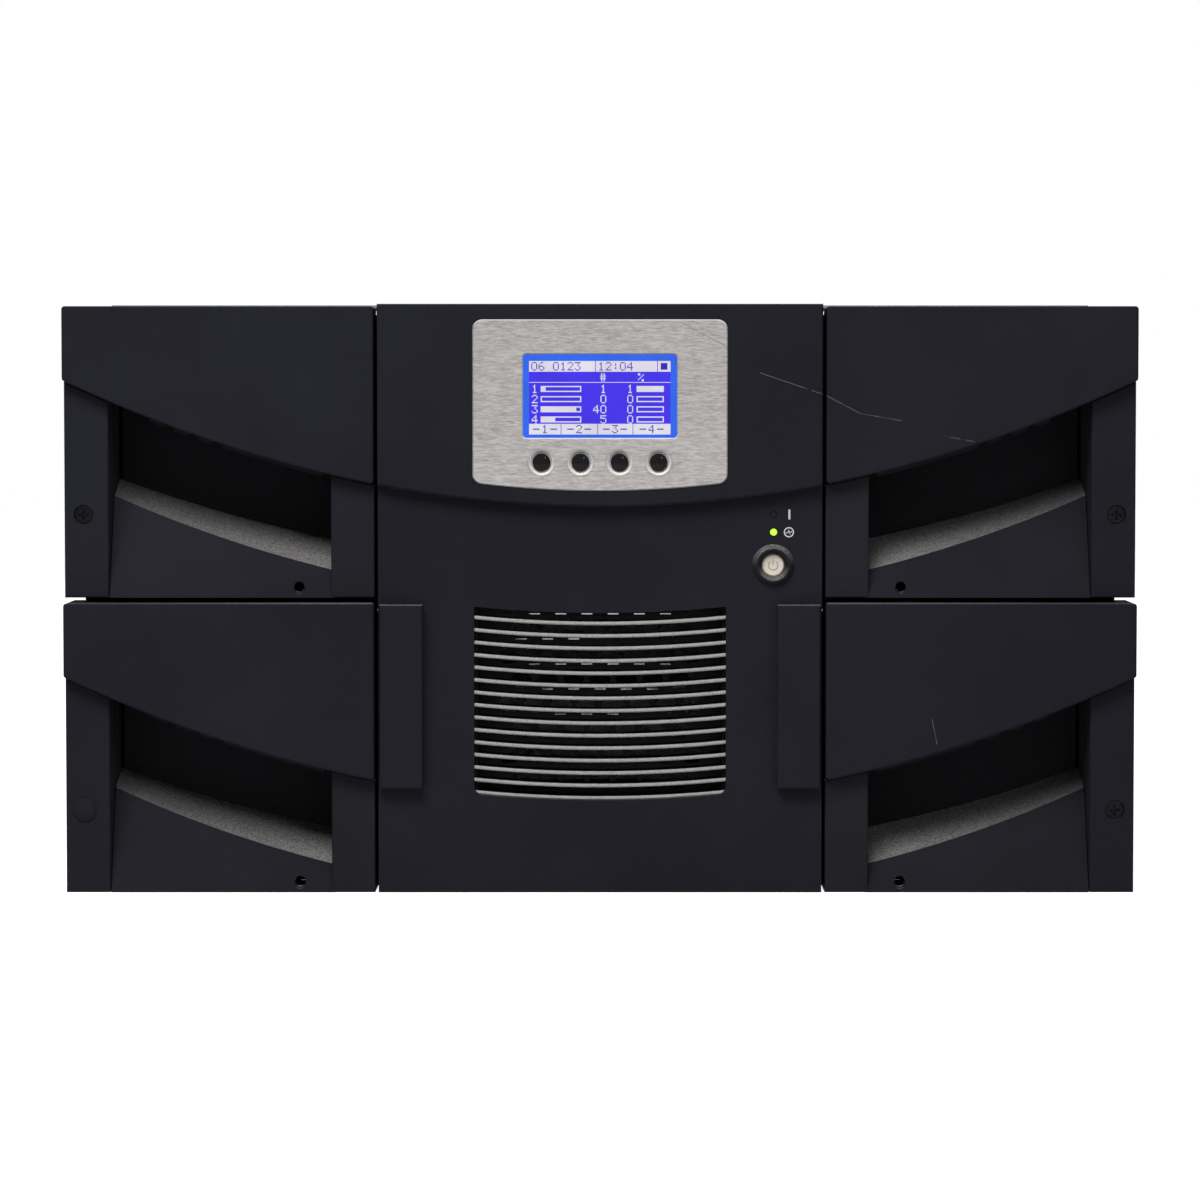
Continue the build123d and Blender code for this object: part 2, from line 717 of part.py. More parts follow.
def make_pull(name, side, base):
    """The lower moulding of a magazine front: scoop, inner column and release hole."""
    column_foot = SCOOP_INNER - MOULD_WALL / 2
    scoop = scoop_wedge(side, base, column_foot, PULL_OUTER)
    hollow = scoop_wedge(side, base, SCOOP_INNER, PULL_OUTER - MOULD_WALL)
    hollow = hollow.moved(Location((0, MOULD_WALL / cos(radians(RAMP_ANGLE)), -MOULD_WALL)))
    keep_out = hood_clearance(side, base)
    release = (side * RELEASE_X, base + RELEASE_HEIGHT)
    with BuildPart() as pull:
        with BuildSketch(face_plane(HOOD_STEP)):
            column_top = base + hood_edge(SCOOP_INNER)
            panel_rect(side * HOOD_INNER, side * SCOOP_INNER, base, column_top)
            add(keep_out, mode=Mode.SUBTRACT)
        column = extrude(amount=-(HOOD_DEPTH - HOOD_STEP))
        fillet(column.faces().sort_by(Axis.Y)[0].edges(), COLUMN_ROUND)
        with BuildSketch(face_plane(HOOD_STEP + MOULD_WALL)):
            panel_rect(
                side * (HOOD_INNER + MOULD_WALL),
                side * (SCOOP_INNER - MOULD_WALL),
                base + MOULD_WALL,
                base + hood_edge(HOOD_INNER) - MOULD_WALL,
            )
        extrude(amount=-(HOOD_DEPTH - HOOD_STEP - MOULD_WALL), mode=Mode.SUBTRACT)
        add(scoop)
        add(hollow, mode=Mode.SUBTRACT)
        block(
            side * HOOD_INNER,
            side * HALF_PANEL,
            at(HOOD_DEPTH),
            at(SCOOP_DEPTH),
            base,
            base + SHEET + FACE_GAP,
            mode=Mode.SUBTRACT,
        )
        rod(RELEASE_RADIUS, *release, at(0), at(HOOD_DEPTH), mode=Mode.SUBTRACT)
        rim = at(HOOD_STEP) + RELEASE_HEIGHT * tan(radians(RAMP_ANGLE))
        rod(RELEASE_RADIUS + RELEASE_RIM, *release, at(0), rim, mode=Mode.SUBTRACT)
    finish(pull, name)


def make_cells(name, side, base):
    """The sliding cartridge rack: front plate, spine, dividers and shelf plates slotted together."""
    bottom = base + MAG_LIFT
    top = bottom + MAG_HEIGHT
    inner = side * MAG_INNER
    outer = side * MAG_OUTER
    spine = outer - side * MAG_SPINE
    seat = spine - side * SLOT_GAP
    with BuildPart() as cells:
        with BuildSketch(face_plane(SCOOP_DEPTH)):
            panel_rect(inner, outer, bottom, top)
            notch = side * RELEASE_X
            panel_rect(
                notch - LATCH_NOTCH, notch + LATCH_NOTCH, base, bottom + LATCH_NOTCH,
                mode=Mode.SUBTRACT,
            )
        extrude(amount=-MAG_PLATE)
        block(outer, spine, at(SCOOP_DEPTH + MAG_PLATE) + SLOT_GAP, at(MAG_END), bottom, top)
        for column in range(COLUMNS + 1):
            y0 = at(CELLS_START + column * COLUMN_PITCH)
            block(seat, inner, y0, y0 + CELL_WALL, bottom, top)
            if column == COLUMNS:
                break
            for tier in range(TIERS + 1):
                z0 = bottom + tier * CELL_PITCH
                y1 = y0 + CELL_WALL + SLOT_GAP
                block(seat, inner, y1, y0 + COLUMN_PITCH - SLOT_GAP, z0, z0 + CELL_WALL)
    finish(cells, name)


def make_latch(name, side, base):
    """A flat pawl, rounded about its two pins; its free end swings up behind the magazine's plate."""
    x = side * RELEASE_X
    z = base + LATCH_RISE
    with BuildPart() as latch:
        block(
            x - LATCH_WIDTH / 2,
            x + LATCH_WIDTH / 2,
            at(LATCH_PIVOT),
            at(LATCH_PIVOT + LATCH_LENGTH),
            z - LATCH_SHEET / 2,
            z + LATCH_SHEET / 2,
        )
        with Locations((x, at(LATCH_PIVOT), z)):
            Cylinder(LATCH_SHEET / 2, LATCH_WIDTH, rotation=(0, 90, 0))
            Cylinder(LATCH_PIN_RADIUS, LATCH_WIDTH + 3 * LATCH_EAR, rotation=(0, 90, 0))
    finish(latch, name)


for level, base in LEVELS.items():
    for word, side in SIDES.items():
        make_hood(f"hood_{level}_{word}", side, base + BEZEL_LIFT)
        make_pull(f"pull_{level}_{word}", side, base + BEZEL_LIFT)
        make_cells(f"cells_{level}_{word}", side, base)
        make_latch(f"latch_{level}_{word}", side, base)


# Centre panel with its display, keys, lamps and vent

panel_top = UNIT_HEIGHT
brow_edge = panel_top - BROW_EDGE_DROP
plate_top = panel_top - PLATE_DROP
plate_bottom = plate_top - PLATE_HEIGHT
lcd_middle = panel_top - LCD_DROP - LCD_HEIGHT / 2
key_z = panel_top - KEY_DROP
plate_face = -PLATE_PROUD
plate_back = plate_face + PLATE_SHEET
brow_wall = plate_back + MOULD_WALL
key_places = [((index - (KEY_COUNT - 1) / 2) * KEY_PITCH, key_z) for index in range(KEY_COUNT)]
lamp_places = [(LAMP_X, LAMP_Z + index * LAMP_PITCH) for index in range(2)]


def smile(half_width, edge_z, sag, top):
    """A panel field with straight sides and a lower edge that bows down."""
    with BuildSketch() as field:
        with BuildLine():
            ThreePointArc((-half_width, edge_z), (0, edge_z - sag), (half_width, edge_z))
            Polyline((half_width, edge_z), (half_width, top), (-half_width, top), (-half_width, edge_z))
        make_face()
    return field.sketch_local


def plate_outline():
    """The display plate's outline, with its corners rounded."""
    with BuildSketch() as outline:
        add(smile(PLATE_WIDTH / 2, plate_bottom, PLATE_SAG, plate_top))
        fillet(outline.vertices(), PLATE_CORNER)
    return outline.sketch_local


def vent_outline():
    """The vent's opening: top and bottom edges bow down together."""
    half = VENT_WIDTH / 2
    with BuildSketch() as outline:
        with BuildLine():
            ThreePointArc((-half, VENT_TOP), (0, VENT_TOP - VENT_SAG), (half, VENT_TOP))
            Line((half, VENT_TOP), (half, VENT_BOTTOM))
            ThreePointArc((half, VENT_BOTTOM), (0, VENT_BOTTOM - VENT_SAG), (-half, VENT_BOTTOM))
            Line((-half, VENT_BOTTOM), (-half, VENT_TOP))
        make_face()
        fillet(outline.vertices().group_by(Axis.Y)[0], VENT_CORNER)
    return outline.sketch_local


brow_outline = smile(HALF_CENTRE, brow_edge, BROW_SAG, panel_top)
brow_hollow = smile(
    HALF_CENTRE - MOULD_WALL, brow_edge + MOULD_WALL, BROW_SAG, panel_top - MOULD_WALL
)
field_wall = HOOD_STEP + MOULD_WALL
boss_x = HALF_CENTRE - BOSS_INSET
boss_heights = (BEZEL_LIFT + 2 * BOSS_INSET, panel_top - 2 * BOSS_INSET)
with BuildPart() as front_panel:
    with BuildSketch(face_plane(0)):
        add(brow_outline)
    extrude(amount=-(HOOD_STEP + MOULD_WALL))
    fillet(front_panel.faces().sort_by(Axis.Y)[0].edges(), BROW_ROUND)
    with BuildSketch(face_plane(0)):
        for side in SIDES.values():
            tab = side * (HALF_CENTRE - TAB_INSET)
            panel_rect(tab, tab - side * TAB_WIDTH, TAB_BOTTOM, TAB_TOP)
    extrude(amount=-(HOOD_STEP + MOULD_WALL / 2))
    front_edges = front_panel.faces().filter_by(Axis.Y).group_by(Axis.Y)[0].edges()
    tab_edges = front_edges.filter_by_position(Axis.Z, TAB_BOTTOM - SLOT_GAP, TAB_TOP + SLOT_GAP)
    fillet(tab_edges, BROW_ROUND)
    with BuildSketch(face_plane(HOOD_STEP)):
        panel_rect(-HALF_CENTRE, HALF_CENTRE, BEZEL_LIFT, panel_top - BROW_ROUND)
    extrude(amount=-(FLANGE_SET - HOOD_STEP))
    with BuildSketch(face_plane(field_wall)):
        panel_rect(
            MOULD_WALL - HALF_CENTRE,
            HALF_CENTRE - MOULD_WALL,
            BEZEL_LIFT + MOULD_WALL,
            panel_top - 2 * MOULD_WALL,
        )
        for boss_z in boss_heights:
            with Locations((boss_x, boss_z), (-boss_x, boss_z)):
                Circle(BOSS_RADIUS / 2, mode=Mode.SUBTRACT)
    extrude(amount=-(FLANGE_SET - field_wall), mode=Mode.SUBTRACT)
    with BuildSketch(face_plane(brow_wall)):
        add(brow_hollow)
        for side in SIDES.values():
            with Locations((side * boss_x, boss_heights[1])):
                Circle(BOSS_RADIUS / 2, mode=Mode.SUBTRACT)
    extrude(amount=-(field_wall - brow_wall), mode=Mode.SUBTRACT)
    plate_seat = plate_outline()
    with BuildSketch(face_plane(0)):
        add(plate_seat)
        offset(amount=SLOT_GAP)
    extrude(amount=-plate_back, mode=Mode.SUBTRACT)
    with BuildSketch(face_plane(0)):
        panel_rect(
            -LCD_WIDTH / 2 - LCD_RIM,
            LCD_WIDTH / 2 + LCD_RIM,
            lcd_middle - LCD_HEIGHT / 2 - LCD_RIM,
            lcd_middle + LCD_HEIGHT / 2 + LCD_RIM,
        )
        with Locations(*key_places):
            Circle(KEY_SINK_RADIUS)
    extrude(amount=-field_wall, mode=Mode.SUBTRACT)
    with BuildSketch(face_plane(HOOD_STEP)):
        add(vent_outline())
        with Locations((POWER_X, POWER_Z)):
            Circle(POWER_FUNNEL_RADIUS)
        with Locations(*lamp_places):
            Circle(LAMP_RADIUS + SLOT_GAP)
    extrude(amount=-MOULD_WALL, mode=Mode.SUBTRACT)
finish(front_panel, "front_panel")

grille_half = VENT_WIDTH / 2 - SLOT_GAP


def louvre(edge):
    """One louvre: a thin blade that bows down in the middle, its front edges eased, cut to the
    opening that it lies in."""
    upper = edge + LOUVRE_SHEET
    with BuildPart() as blade:
        with BuildSketch(face_plane(HOOD_STEP + LOUVRE_SET)):
            with BuildLine():
                ThreePointArc((-grille_half, edge), (0, edge - VENT_SAG), (grille_half, edge))
                Line((grille_half, edge), (grille_half, upper))
                ThreePointArc((grille_half, upper), (0, upper - VENT_SAG), (-grille_half, upper))
                Line((-grille_half, upper), (-grille_half, edge))
            make_face()
        extrude(amount=-LOUVRE_DEPTH)
        front_edges = blade.faces().sort_by(Axis.Y)[0].edges()
        chamfer(front_edges.filter_by(GeomType.CIRCLE), LOUVRE_EASE)
        with BuildSketch(face_plane(HOOD_STEP)):
            add(vent_outline())
            offset(amount=-SLOT_GAP)
        extrude(amount=-(LOUVRE_SET + LOUVRE_DEPTH), mode=Mode.INTERSECT)
    return blade.part


louvre_pitch = (VENT_TOP - VENT_BOTTOM - SLOT_GAP) / LOUVRE_COUNT
louvres = [louvre(VENT_TOP - (index + 1) * louvre_pitch) for index in range(LOUVRE_COUNT)]
with BuildPart() as vent_grille:
    rail_set = field_wall + SLOT_GAP
    back = HOOD_STEP + LOUVRE_SET + LOUVRE_DEPTH
    low = VENT_BOTTOM - VENT_SAG
    with BuildSketch(face_plane(rail_set)):
        with Locations((0, (VENT_TOP + low) / 2)):
            Rectangle(2 * (grille_half + GRILLE_RAIL), VENT_TOP - low + 2 * GRILLE_RAIL)
            Rectangle(2 * (grille_half - LOUVRE_SHEET), VENT_TOP - low, mode=Mode.SUBTRACT)
    extrude(amount=-(back - rail_set))
    add(louvres)
finish(vent_grille, "vent_grille")

with BuildPart() as display_plate:
    plate_face_outline = plate_outline()
    with BuildSketch(face_plane(plate_face)):
        add(plate_face_outline)
    extrude(amount=-PLATE_SHEET)
    with BuildSketch(face_plane(plate_face)):
        with Locations((0, lcd_middle)):
            RectangleRounded(LCD_WIDTH, LCD_HEIGHT, LCD_CORNER)
        with Locations(*key_places):
            Circle(KEY_RADIUS + FACE_GAP)
    extrude(amount=-PLATE_SHEET, mode=Mode.SUBTRACT)
    for key_x, key_height in key_places:
        with Locations((key_x, at(plate_face + KEY_SINK_DEPTH / 2), key_height)):
            Cone(
                KEY_RADIUS + FACE_GAP,
                KEY_SINK_RADIUS,
                KEY_SINK_DEPTH,
                rotation=(90, 0, 0),
                mode=Mode.SUBTRACT,
            )
    face = display_plate.faces().sort_by(Axis.Y)[0]
    window = face.inner_wires().sort_by(SortBy.LENGTH)[-1]
    chamfer(face.outer_wire().edges() + window.edges(), PLATE_EASE)
finish(display_plate, "display_plate")

with BuildPart() as lcd_window:
    with BuildSketch(face_plane(plate_face + PANE_SINK)):
        with Locations((0, lcd_middle)):
            RectangleRounded(LCD_WIDTH - 2 * SLOT_GAP, LCD_HEIGHT - 2 * SLOT_GAP, LCD_CORNER)
    extrude(amount=-PANE_SHEET)
finish(lcd_window, "lcd_window")

# The display module's board runs down behind the keys and carries their switches
board_set = brow_wall + KEY_FLANGE + KEY_TRAVEL + FACE_GAP
with BuildPart() as lcd_module:
    with BuildSketch(face_plane(plate_face + PANE_SINK + PANE_SHEET)):
        with Locations((0, lcd_middle)):
            RectangleRounded(LCD_WIDTH - 2 * SLOT_GAP, LCD_HEIGHT - 2 * SLOT_GAP, LCD_CORNER)
    extrude(amount=-(plate_back - plate_face - PANE_SINK - PANE_SHEET))
    with BuildSketch(face_plane(plate_back)):
        with Locations((0, lcd_middle)):
            Rectangle(LCD_WIDTH + 2 * LCD_RIM - FACE_GAP, LCD_HEIGHT + 2 * LCD_RIM - FACE_GAP)
    extrude(amount=-LCD_BODY)
    block(
        -PLATE_WIDTH / 2,
        PLATE_WIDTH / 2,
        at(board_set),
        at(board_set + PLATE_SHEET),
        key_z - 2 * KEY_SINK_RADIUS,
        plate_top,
    )
finish(lcd_module, "lcd_module")

for index, (key_x, key_height) in enumerate(key_places, start=1):
    with BuildPart() as softkey:
        key_plane = Plane((key_x, FRONT, key_height), x_dir=(1, 0, 0), z_dir=(0, 0, 1))
        crown = plate_face - KEY_PROUD
        flange_set = brow_wall
        with BuildSketch(key_plane):
            with BuildLine():
                ThreePointArc(*dome(KEY_RADIUS, KEY_DOME, crown))
                Polyline(
                    (KEY_RADIUS, crown + KEY_DOME),
                    (KEY_RADIUS, flange_set),
                    (KEY_RADIUS + KEY_FLANGE_RIM, flange_set),
                    (KEY_RADIUS + KEY_FLANGE_RIM, flange_set + KEY_FLANGE),
                    (0, flange_set + KEY_FLANGE),
                    (0, crown),
                )
            make_face()
        revolve(axis=Axis((key_x, FRONT, key_height), (0, 1, 0)))
    finish(softkey, f"softkey_{index}")

power_axis = Axis((POWER_X, FRONT, POWER_Z), (0, 1, 0))
power_plane = Plane((POWER_X, FRONT, POWER_Z), x_dir=(1, 0, 0), z_dir=(0, 0, 1))
power_face = HOOD_STEP + FACE_GAP
with BuildPart() as power_ring:
    with BuildSketch(power_plane):
        with BuildLine():
            rim_set = HOOD_STEP - POWER_RING_PROUD
            Polyline(
                (POWER_FUNNEL_RADIUS, HOOD_STEP),
                (POWER_RING_RADIUS, HOOD_STEP),
                (POWER_RIM_RADIUS, rim_set),
                (POWER_RIM_RADIUS - MOULD_WALL / 4, rim_set),
                close=True,
            )
        make_face()
    revolve(axis=power_axis)
finish(power_ring, "power_ring")

with BuildPart() as power_button:
    rod(POWER_RADIUS, POWER_X, POWER_Z, at(power_face), at(field_wall + FACE_GAP))
    chamfer(power_button.faces().sort_by(Axis.Y)[0].edges(), COLUMN_ROUND / 2)
    flange = POWER_FUNNEL_RADIUS + KEY_FLANGE_RIM
    flange_y = at(field_wall + FACE_GAP)
    rod(flange, POWER_X, POWER_Z, flange_y, flange_y + KEY_FLANGE)
finish(power_button, "power_button")

with BuildPart() as status_lamps:
    for lamp_x, lamp_z in lamp_places:
        rod(LAMP_RADIUS, lamp_x, lamp_z, at(HOOD_STEP), at(HOOD_STEP) + LAMP_LENGTH)
    chamfer(status_lamps.faces().filter_by(Axis.Y).group_by(Axis.Y)[0].edges(), LAMP_RADIUS / 3)
finish(status_lamps, "status_lamps")


# Robot: guide rods and lead screw, lift frame, carriage, turning picker and gripper

rod_set_front = FRAME_START + FRAME_BAR / 2 + BLOCK_SIZE / 2
rod_set_rear = FRAME_END - FRAME_BAR / 2 - BLOCK_SIZE / 2
rod_places = [
    (side * ROD_X, at(set_back)) for side in SIDES.values() for set_back in (rod_set_front, rod_set_rear)
]
screw_y = at(FRAME_START + FRAME_BAR + LIFT_SCREW_SET)
motor_bottom = RAIL_TOP + ROBOT_RISE + LIFT_MOTOR_GAP
with BuildPart() as lift_guide_rods:
    for x, y in rod_places:
        post(ROD_RADIUS, x, y, SHEET, COVER_UNDER)
finish(lift_guide_rods, "lift_guide_rods")

with BuildPart() as lift_screw:
    post(LIFT_SCREW_RADIUS, LIFT_SCREW_X, screw_y, SHEET + FACE_GAP, motor_bottom - FACE_GAP)
finish(lift_screw, "lift_screw")

with BuildPart() as lift_motor:
    post(LIFT_MOTOR_RADIUS, LIFT_SCREW_X, screw_y, motor_bottom, COVER_UNDER)
    chamfer(lift_motor.edges().group_by(Axis.Z)[0], COLUMN_ROUND)
finish(lift_motor, "lift_motor")

belt_middle = RAIL_OUTER + FACE_GAP + BELT_WIDTH / 2
belt_z = ROBOT_Z + RAIL_HEIGHT / 2
pulley_sets = {
    "drive": FRAME_END - FRAME_BAR - 2 * BLOCK_SIZE,
    "idler": FRAME_START + FRAME_BAR + 2 * BLOCK_SIZE,
}
with BuildPart() as lift_frame:
    with BuildSketch(Plane.XY.offset(ROBOT_Z)):
        panel_rect(-RAIL_OUTER, RAIL_OUTER, at(FRAME_START), at(FRAME_END))
        panel_rect(
            -RAIL_INNER,
            RAIL_INNER,
            at(FRAME_START + FRAME_BAR),
            at(FRAME_END - FRAME_BAR),
            mode=Mode.SUBTRACT,
        )
        with Locations(*rod_places):
            Rectangle(BLOCK_SIZE, BLOCK_SIZE)
        with Locations((LIFT_SCREW_X, screw_y)):
            Circle(NUT_RADIUS)
        panel_rect(LIFT_SCREW_X, RAIL_OUTER, at(FRAME_START), screw_y)
        with Locations(*rod_places):
            Circle(ROD_RADIUS + FIT, mode=Mode.SUBTRACT)
        with Locations((LIFT_SCREW_X, screw_y)):
            Circle(LIFT_SCREW_RADIUS + FIT, mode=Mode.SUBTRACT)
    extrude(amount=RAIL_HEIGHT)
    for set_back in pulley_sets.values():
        with Locations((RAIL_OUTER - RAIL_WIDTH / 2, at(set_back), belt_z)):
            Cylinder(
                PULLEY_SHAFT_RADIUS + FIT,
                2 * RAIL_WIDTH,
                rotation=(0, 90, 0),
                mode=Mode.SUBTRACT,
            )
finish(lift_frame, "lift_frame")

with BuildPart() as travel_belt:
    with BuildSketch(Plane.YZ.offset(belt_middle - BELT_WIDTH / 2)):
        middle_y = at((pulley_sets["drive"] + pulley_sets["idler"]) / 2)
        span = pulley_sets["drive"] - pulley_sets["idler"]
        with Locations((middle_y, belt_z)):
            SlotCenterToCenter(span, 2 * BELT_RADIUS)
            SlotCenterToCenter(span, 2 * (BELT_RADIUS - BELT_SHEET), mode=Mode.SUBTRACT)
    extrude(amount=BELT_WIDTH)
finish(travel_belt, "travel_belt")

for word, set_back in pulley_sets.items():
    with BuildPart() as belt_pulley:
        with Locations((belt_middle, at(set_back), belt_z)):
            Cylinder(BELT_RADIUS - BELT_SHEET - PULLEY_GAP, BELT_WIDTH, rotation=(0, 90, 0))
        shaft_end = RAIL_INNER + FACE_GAP
        with Locations(((belt_middle + shaft_end) / 2, at(set_back), belt_z)):
            Cylinder(PULLEY_SHAFT_RADIUS, belt_middle - shaft_end, rotation=(0, 90, 0))
    finish(belt_pulley, f"belt_pulley_{word}")

with BuildPart() as travel_motor:
    motor_middle = at(FRAME_END - FRAME_BAR - TRAVEL_MOTOR_LENGTH / 2)
    block(
        RAIL_INNER,
        RAIL_INNER - TRAVEL_MOTOR_WIDTH,
        motor_middle - TRAVEL_MOTOR_LENGTH / 2,
        motor_middle + TRAVEL_MOTOR_LENGTH / 2,
        ROBOT_Z,
        RAIL_TOP,
    )
    fillet(travel_motor.edges().filter_by(Axis.Y), COLUMN_ROUND)
finish(travel_motor, "travel_motor")

picker_y = at(FIRST_COLUMN)
hanger_top = RAIL_TOP + FACE_GAP
floor_z = ROBOT_Z + CARRIAGE_SHEET
picker_z = floor_z + FACE_GAP
with BuildPart() as picker_carriage:
    edge = RAIL_INNER - FACE_GAP
    block(
        -edge,
        edge,
        picker_y - CARRIAGE_LENGTH / 2,
        picker_y + CARRIAGE_LENGTH / 2,
        ROBOT_Z,
        floor_z,
    )
    hanger_y = CARRIAGE_LENGTH / 2 - HANGER_WIDTH / 2
    for side in SIDES.values():
        reach = RAIL_OUTER if side < 0 else belt_middle + BELT_WIDTH / 2
        for end in (-1, 1):
            y0 = picker_y + end * hanger_y - HANGER_WIDTH / 2
            y1 = y0 + HANGER_WIDTH
            with BuildSketch(Plane.XZ.offset(-y0)):
                panel_rect(side * (edge - HANGER_WALL), side * edge, ROBOT_Z, hanger_top)
                panel_rect(
                    side * (edge - HANGER_WALL),
                    side * reach,
                    hanger_top,
                    hanger_top + CARRIAGE_SHEET,
                )
            extrude(amount=-HANGER_WIDTH)
    post(HUB_RADIUS, 0, picker_y, floor_z, picker_z + PICKER_FLOOR)
finish(picker_carriage, "picker_carriage")

picker_top = picker_z + PICKER_FLOOR + CELL_HEIGHT + PICKER_FLOOR
with BuildPart() as picker_housing:
    with BuildSketch(Plane.XZ.offset(PICKER_LENGTH / 2 - picker_y)):
        half = PICKER_WIDTH / 2
        panel_rect(-half, half, picker_z, picker_top)
        panel_rect(
            PICKER_WALL - half,
            half - PICKER_WALL,
            picker_z + PICKER_FLOOR,
            picker_top - PICKER_FLOOR,
            mode=Mode.SUBTRACT,
        )
    extrude(amount=-PICKER_LENGTH)
    with BuildSketch(Plane.XY.offset(picker_top)):
        with Locations((0, picker_y)):
            SlotCenterToCenter(PICKER_SLOT, PICKER_SLOT / 2, rotation=90)
    extrude(amount=-PICKER_FLOOR, mode=Mode.SUBTRACT)
    post(HUB_RADIUS + FIT, 0, picker_y, picker_z, picker_z + PICKER_FLOOR, mode=Mode.SUBTRACT)
finish(picker_housing, "picker_housing")

with BuildPart() as gripper:
    block_back = picker_y - PICKER_LENGTH / 2 + PICKER_WALL
    block_front = block_back + GRIPPER_LENGTH
    bottom = picker_z + PICKER_FLOOR + GLIDE_GAP
    half = GRIPPER_WIDTH / 2
    block(-half, half, block_back, block_front, bottom, bottom + GRIPPER_HEIGHT)
    for side in SIDES.values():
        with BuildSketch(Plane.XY.offset(bottom + FINGER_LIFT)):
            with BuildLine():
                root = side * FINGER_SPREAD / 2
                far = root + side * FINGER_WALL
                tip = block_front + FINGER_LENGTH
                Polyline(
                    (root, block_front),
                    (root, tip),
                    (far + side * FINGER_WALL / 2, tip),
                    (far, tip - FINGER_WALL),
                    (far, block_front),
                    close=True,
                )
            make_face()
        extrude(amount=FINGER_HEIGHT)
finish(gripper, "gripper")


# Rear: panel, drive sled and blanks, power supplies with their fans, controller

rear_face = at(PANEL_BACK)
bay_middles = [BAY_START + (index + 0.5) * BAY_PITCH for index in range(BAY_COUNT)]
module_x = (AISLE_WALL + SHEET + INNER_WALL) / 2
supply_x = -module_x
supply_middles = [SUPPLY_START + SUPPLY_HEIGHT / 2 + index * SUPPLY_PITCH for index in range(2)]
control_z = CONTROL_START + CONTROL_HEIGHT / 2
rear_plane = Plane.XZ.offset(-rear_face)


def handle(x0, x1, z0, z1, upright):
    """A bar handle on a module's face, on two legs, that reaches the unit's rearmost plane."""
    face = rear_face + FACE_SHEET
    block(x0, x1, REAR - HANDLE_BAR, REAR, z0, z1)
    if upright:
        block(x0, x1, face, REAR, z0, z0 + HANDLE_BAR)
        block(x0, x1, face, REAR, z1 - HANDLE_BAR, z1)
    else:
        block(x0, x0 + HANDLE_BAR, face, REAR, z0, z1)
        block(x1 - HANDLE_BAR, x1, face, REAR, z0, z1)


with BuildPart() as rear_panel:
    with BuildSketch(rear_plane):
        panel_rect(-INNER_WALL, INNER_WALL, SHEET, COVER_UNDER - SHEET)
        with Locations(*[(0, z) for z in bay_middles]):
            Rectangle(SLED_WIDTH + 2 * FACE_GAP, SLED_HEIGHT + 2 * FACE_GAP, mode=Mode.SUBTRACT)
        with Locations(*[(supply_x, z) for z in supply_middles]):
            Rectangle(
                MODULE_WIDTH + 2 * FACE_GAP, SUPPLY_HEIGHT + 2 * FACE_GAP, mode=Mode.SUBTRACT
            )
        with Locations((module_x, control_z)):
            Rectangle(
                MODULE_WIDTH + 2 * FACE_GAP, CONTROL_HEIGHT + 2 * FACE_GAP, mode=Mode.SUBTRACT
            )
    extrude(amount=SHEET)
finish(rear_panel, "rear_panel")

with BuildPart() as drive_bay_blanks:
    lap_height = BAY_PITCH - FACE_GAP
    for z in bay_middles[1:]:
        block(
            -SLED_WIDTH / 2 - FACE_LAP,
            SLED_WIDTH / 2 + FACE_LAP,
            rear_face,
            rear_face + FACE_SHEET,
            z - lap_height / 2,
            z + lap_height / 2,
        )
finish(drive_bay_blanks, "drive_bay_blanks")

sled_z = bay_middles[0] - SLED_HEIGHT / 2
with BuildPart() as drive_sled:
    with BuildSketch(rear_plane):
        half = SLED_WIDTH / 2
        panel_rect(-half, half, sled_z, sled_z + SLED_WALL)
        panel_rect(SHEET - half, half - SHEET, sled_z + SHEET, sled_z + SLED_WALL, mode=Mode.SUBTRACT)
    extrude(amount=SLED_LENGTH)
    block(
        -half - FACE_LAP,
        half + FACE_LAP,
        rear_face,
        rear_face + FACE_SHEET,
        bay_middles[0] - lap_height / 2,
        bay_middles[0] + lap_height / 2,
    )
    handle(
        -SLED_HANDLE / 2,
        SLED_HANDLE / 2,
        bay_middles[0] - HANDLE_BAR / 2,
        bay_middles[0] + HANDLE_BAR / 2,
        False,
    )
    for side in SIDES.values():
        block(
            side * SAS_X - SAS_WIDTH / 2 - FACE_SHEET,
            side * SAS_X + SAS_WIDTH / 2 + FACE_SHEET,
            rear_face - SAS_DEPTH,
            rear_face,
            bay_middles[0] - SAS_HEIGHT / 2 - FACE_SHEET,
            bay_middles[0] + SAS_HEIGHT / 2 + FACE_SHEET,
        )
        block(
            side * SAS_X - SAS_WIDTH / 2,
            side * SAS_X + SAS_WIDTH / 2,
            rear_face - SAS_DEPTH + FACE_SHEET,
            rear_face + FACE_SHEET,
            bay_middles[0] - SAS_HEIGHT / 2,
            bay_middles[0] + SAS_HEIGHT / 2,
            mode=Mode.SUBTRACT,
        )
finish(drive_sled, "drive_sled")

with BuildPart() as tape_drive:
    drive_front = at(SLED_FRONT)
    drive_floor = sled_z + SHEET
    block(
        -DRIVE_WIDTH / 2,
        DRIVE_WIDTH / 2,
        drive_front,
        drive_front + DRIVE_LENGTH,
        drive_floor,
        drive_floor + DRIVE_HEIGHT,
    )
    fillet(tape_drive.edges().filter_by(Axis.Y), COLUMN_ROUND)
    slot_z = drive_floor + DRIVE_HEIGHT / 2
    block(
        -DRIVE_SLOT_WIDTH / 2,
        DRIVE_SLOT_WIDTH / 2,
        drive_front,
        drive_front + DRIVE_SLOT_DEPTH,
        slot_z - DRIVE_SLOT_HEIGHT / 2,
        slot_z + DRIVE_SLOT_HEIGHT / 2,
        mode=Mode.SUBTRACT,
    )
finish(tape_drive, "tape_drive")


